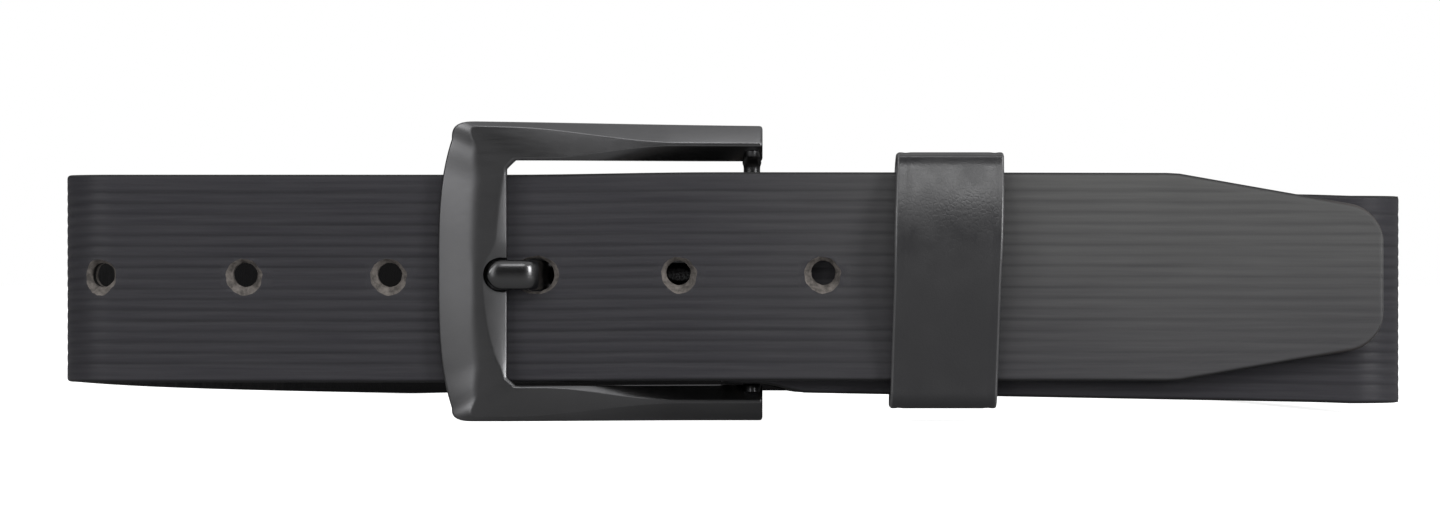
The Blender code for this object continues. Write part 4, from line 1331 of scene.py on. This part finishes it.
def keeperOutline():
    # outer and inner points in the Y-Z plane from the butt joint round to it again
    low, high = lowOf("keeper_band"), highOf("keeper_band")
    thick = keeper["thick"]
    front, back = low[1], high[1]
    bottom, top = low[2], high[2]
    middle = (bottom + top) / 2
    points = []
    # along the back downwards, under, up the crowned front and over the top
    for z in np.linspace(middle - keeper["butt"] / 2, bottom + 2.6, 10):
        points.append((back, z))
    for a in np.radians(np.arange(10, 91, 10)):
        points.append((back - 2.4 * (1 - math.cos(a)), bottom + 2.6 - 2.6 * math.sin(a)))
    for y in np.linspace(back - 3.0, front + 3.0, 6):
        points.append((y, bottom))
    for a in np.radians(np.arange(10, 91, 10)):
        points.append((front + 2.4 * (1 - math.sin(a)), bottom + 2.6 * (1 - math.cos(a))))
    for z in np.linspace(bottom + 2.9, top - keeper["topCorner"] - 0.3, 46):
        points.append((front, z))
    corner = keeper["topCorner"]
    for a in np.radians(np.arange(0, 91, 10)):
        points.append((front + 2.6 * (1 - math.cos(a)), top - corner + corner * math.sin(a)))
    for y in np.linspace(front + 3.2, back - 3.0, 6):
        points.append((y, top))
    for a in np.radians(np.arange(10, 91, 10)):
        points.append((back - 2.4 * (1 - math.sin(a)), top - 2.6 * (1 - math.cos(a))))
    for z in np.linspace(top - 2.9, middle + keeper["butt"] / 2, 10):
        points.append((back, z))
    points = np.array(points)
    # the front stands proud of the strap in a shallow crown, fullest above the middle
    fullest = mix(bottom, top, keeper["fullestShare"])
    lower = np.clip((points[:, 1] - bottom - 1.0) / (fullest - bottom - 1.0), 0, 1)
    upper = np.clip((points[:, 1] - fullest) / (top - keeper["lip"] - fullest), 0, 1)
    full = np.where(points[:, 1] < fullest, ease(lower), 1 - 0.95 * upper ** 2)
    atFront = ease((front + 2.0 - points[:, 0]) / 2.0)
    points[:, 0] -= keeper["crown"] * full * atFront
    ahead = np.gradient(points, axis=0)
    ahead /= np.linalg.norm(ahead, axis=1)[:, None]
    normal = np.stack([ahead[:, 1], -ahead[:, 0]], axis=1)
    if normal[0][0] < 0:
        normal = -normal
    return points, points - normal * thick, normal, middle


def keeperBand():
    outer, inner, normal, middle = keeperOutline()
    x0 = (lowOf("keeper_band")[0] + highOf("keeper_band")[0]) / 2 + keeper["shift"]
    w, r, thick = keeper["width"] / 2, keeper["edgeRound"], keeper["thick"]
    top = highOf("keeper_band")[2]
    rings, masks = [], []
    across = np.linspace(-w + r, w - r, 38)
    for (oy, oz), (ny, nz) in zip(outer, normal):
        lean = (oz - middle) * math.tan(keeper["lean"])
        fuller = 1 + 0.02 * math.sin(math.pi * np.clip((oz - middle) / (top - middle), 0, 1))
        section, mask = [], []
        for s in across:
            fromEdge = w - abs(s)
            offLine = (fromEdge - keeper["creaseFrom"]) / keeper["creaseWide"]
            crease = keeper["creaseDeep"] * math.exp(-offLine ** 2)
            section.append((s, crease))
            mask.append(0.0)
        for a in np.radians((30, 60, 90)):
            section.append((w - r + r * math.sin(a), r * (1 - math.cos(a))))
            mask.append(1.0)
        for a in np.radians((0, 45, 90)):
            section.append((w - r + r * math.cos(a), thick - r * (1 - math.sin(a))))
            mask.append(1.0)
        for s in np.linspace(w - r, -w + r, 9)[1:-1]:
            section.append((s, thick))
            mask.append(0.0)
        for a in np.radians((90, 45, 0)):
            section.append((-w + r - r * math.cos(a), thick - r * (1 - math.sin(a))))
            mask.append(1.0)
        for a in np.radians((90, 60, 30)):
            section.append((-w + r - r * math.sin(a), r * (1 - math.cos(a))))
            mask.append(1.0)
        rings.append([(x0 + lean + s * fuller, oy - ny * d, oz - nz * d) for s, d in section])
        masks.append(mask)
    made = lofted("keeperBand", rings, [finish["keeper"]], masks)
    smoothShade(made, 40)
    return give(made, "keeper", "keeper_leather", "keeper_band")


def keeperStaple():
    # a bent wire whose legs pass through the two butted ends
    low, high = lowOf("keeper_staple"), highOf("keeper_staple")
    x = (low[0] + high[0]) / 2
    radius = keeper["wire"]
    crownY, legY = high[1] - radius, low[1]
    bend = 0.8
    route = [(legY, low[2] + radius)]
    for a in np.radians(np.arange(0, 91, 15)):
        route.append((crownY - bend + bend * math.sin(a), low[2] + radius + bend * (1 - math.cos(a))))
    route += [(y, low[2] + high[2] - z) for y, z in reversed(route)]
    route = np.array(route)
    ahead = np.gradient(route, axis=0)
    ahead /= np.linalg.norm(ahead, axis=1)[:, None]
    rings = []
    for (y, z), (ty, tz) in zip(route, ahead):
        ring = []
        for a in np.linspace(0, 2 * math.pi, 16, endpoint=False):
            u, v = radius * math.cos(a), radius * math.sin(a)
            ring.append((x + u, y - tz * v, z + ty * v))
        rings.append(ring)
    made = lofted("keeperStaple", rings, [finish["stud"]], [[0.0] * 16] * len(rings))
    smoothShade(made, 40)
    return give(made, "keeper", "stud_metal", "keeper_staple")


keeperBand()
keeperStaple()
print("keeper made")

studio = {
    "lens": 150.0,
    "sensor": 36.0,
    "viewWidth": 242.0,
    "viewY": -135.0,
    "viewX": -2.2,
    "viewZ": 28.2,
    "eyeZ": 24.5,
    "frontGlow": 0.075,
    "topGlow": 0.66,
    "rightGlow": 0.3,
    "leftGlow": 2.3,
    "floorTone": 0.82,
    "floorDim": 0.42,
    "floorLift": 0.8,
}


def studioWorld():
    world = bpy.data.worlds.new("studio")
    bpy.context.scene.world = world
    world.use_nodes = True
    tree = world.node_tree
    tree.nodes.clear()
    rays = tree.nodes.new("ShaderNodeLightPath").outputs
    seen = calc(tree, "MAXIMUM", rays["Is Camera Ray"], rays["Is Transmission Ray"])
    # a dim room with a bright ceiling, a brighter right side and a soft patch front left
    way = tree.nodes.new("ShaderNodeTexCoord").outputs["Generated"]
    parts = tree.nodes.new("ShaderNodeSeparateXYZ")
    tree.links.new(way, parts.inputs[0])
    ceiling = remap(tree, parts.outputs[2], 0.35, 0.75, 0.0, studio["topGlow"], "SMOOTHSTEP")
    right = remap(tree, parts.outputs[0], 0.35, 0.8, 0.0, studio["rightGlow"], "SMOOTHSTEP")
    left = calc(tree, "MULTIPLY", remap(tree, parts.outputs[0], -0.34, -0.42, 0.0, 1.0, "SMOOTHSTEP"),
                remap(tree, parts.outputs[0], -0.68, -0.54, 0.0, 1.0, "SMOOTHSTEP"))
    left = calc(tree, "MULTIPLY", left, remap(tree, parts.outputs[1], -0.45, -0.65, 0.0,
                                              studio["leftGlow"], "SMOOTHSTEP"))
    room = calc(tree, "ADD", calc(tree, "ADD", ceiling, right), calc(tree, "ADD", left, studio["frontGlow"]))
    light = tree.nodes.new("ShaderNodeBackground")
    light.inputs["Color"].default_value = (1, 1, 1, 1)
    tree.links.new(remap(tree, seen, 0, 1, room, 1.0), light.inputs["Strength"])
    out = tree.nodes.new("ShaderNodeOutputWorld")
    tree.links.new(light.outputs[0], out.inputs["Surface"])


def studioFloor():
    size = 12.0
    mesh = bpy.data.meshes.new("floor")
    mesh.from_pydata([(-size, -size, 0), (size, -size, 0), (size, size, 0), (-size, size, 0)], [],
                     [(0, 1, 2, 3)])
    floor = addObject("floor", mesh)
    made = bpy.data.materials.new("floorPaper")
    made.use_nodes = True
    tree = made.node_tree
    tree.nodes.clear()
    rays = tree.nodes.new("ShaderNodeLightPath").outputs
    seen = calc(tree, "MAXIMUM", rays["Is Camera Ray"], rays["Is Transmission Ray"])
    paper = tree.nodes.new("ShaderNodeBsdfDiffuse")
    tree.links.new(remap(tree, seen, 0, 1, studio["floorDim"], studio["floorTone"]), paper.inputs["Color"])
    glow = tree.nodes.new("ShaderNodeEmission")
    tree.links.new(calc(tree, "MULTIPLY", seen, studio["floorLift"]), glow.inputs["Strength"])
    both = tree.nodes.new("ShaderNodeAddShader")
    tree.links.new(paper.outputs[0], both.inputs[0])
    tree.links.new(glow.outputs[0], both.inputs[1])
    out = tree.nodes.new("ShaderNodeOutputMaterial")
    tree.links.new(both.outputs[0], out.inputs["Surface"])
    mesh.materials.append(made)


def softLight(name, spot, target, width, height, radiance):
    lamp = bpy.data.lights.new(name, "AREA")
    lamp.shape = "RECTANGLE"
    lamp.size, lamp.size_y = width, height
    lamp.energy = radiance * math.pi * width * height
    made = addObject(name, lamp)
    made.location = spot
    way = np.array(target, float) - np.array(spot, float)
    flat = math.hypot(way[0], way[1])
    made.rotation_euler = (math.atan2(flat, -way[2]), 0.0, math.atan2(way[1], way[0]) - math.pi / 2)


def studioLights():
    front = (0.0, studio["viewY"] * mm, 0.025)
    softLight("above", (0.10, -0.74, 0.50), front, 0.45, 0.2, 3.4)
    softLight("right", (0.62, -0.56, 0.22), front, 0.2, 0.3, 12.0)
    softLight("left", (-0.60, -0.60, 0.26), front, 0.16, 0.26, 6.0)


def studioCamera():
    camera = bpy.data.cameras.new("camera")
    camera.lens, camera.sensor_width = studio["lens"], studio["sensor"]
    camera.clip_end = 60.0
    camera.shift_y = (studio["viewZ"] - studio["eyeZ"]) / studio["viewWidth"]
    made = addObject("camera", camera)
    away = studio["viewWidth"] * studio["lens"] / studio["sensor"]
    made.location = (studio["viewX"] * mm, (studio["viewY"] - away) * mm, studio["eyeZ"] * mm)
    made.rotation_euler = (math.pi / 2, 0.0, 0.0)
    bpy.context.scene.camera = made


studioWorld()
studioFloor()
studioLights()
studioCamera()
bpy.context.scene.view_settings.view_transform = "Standard"
print("stage made")
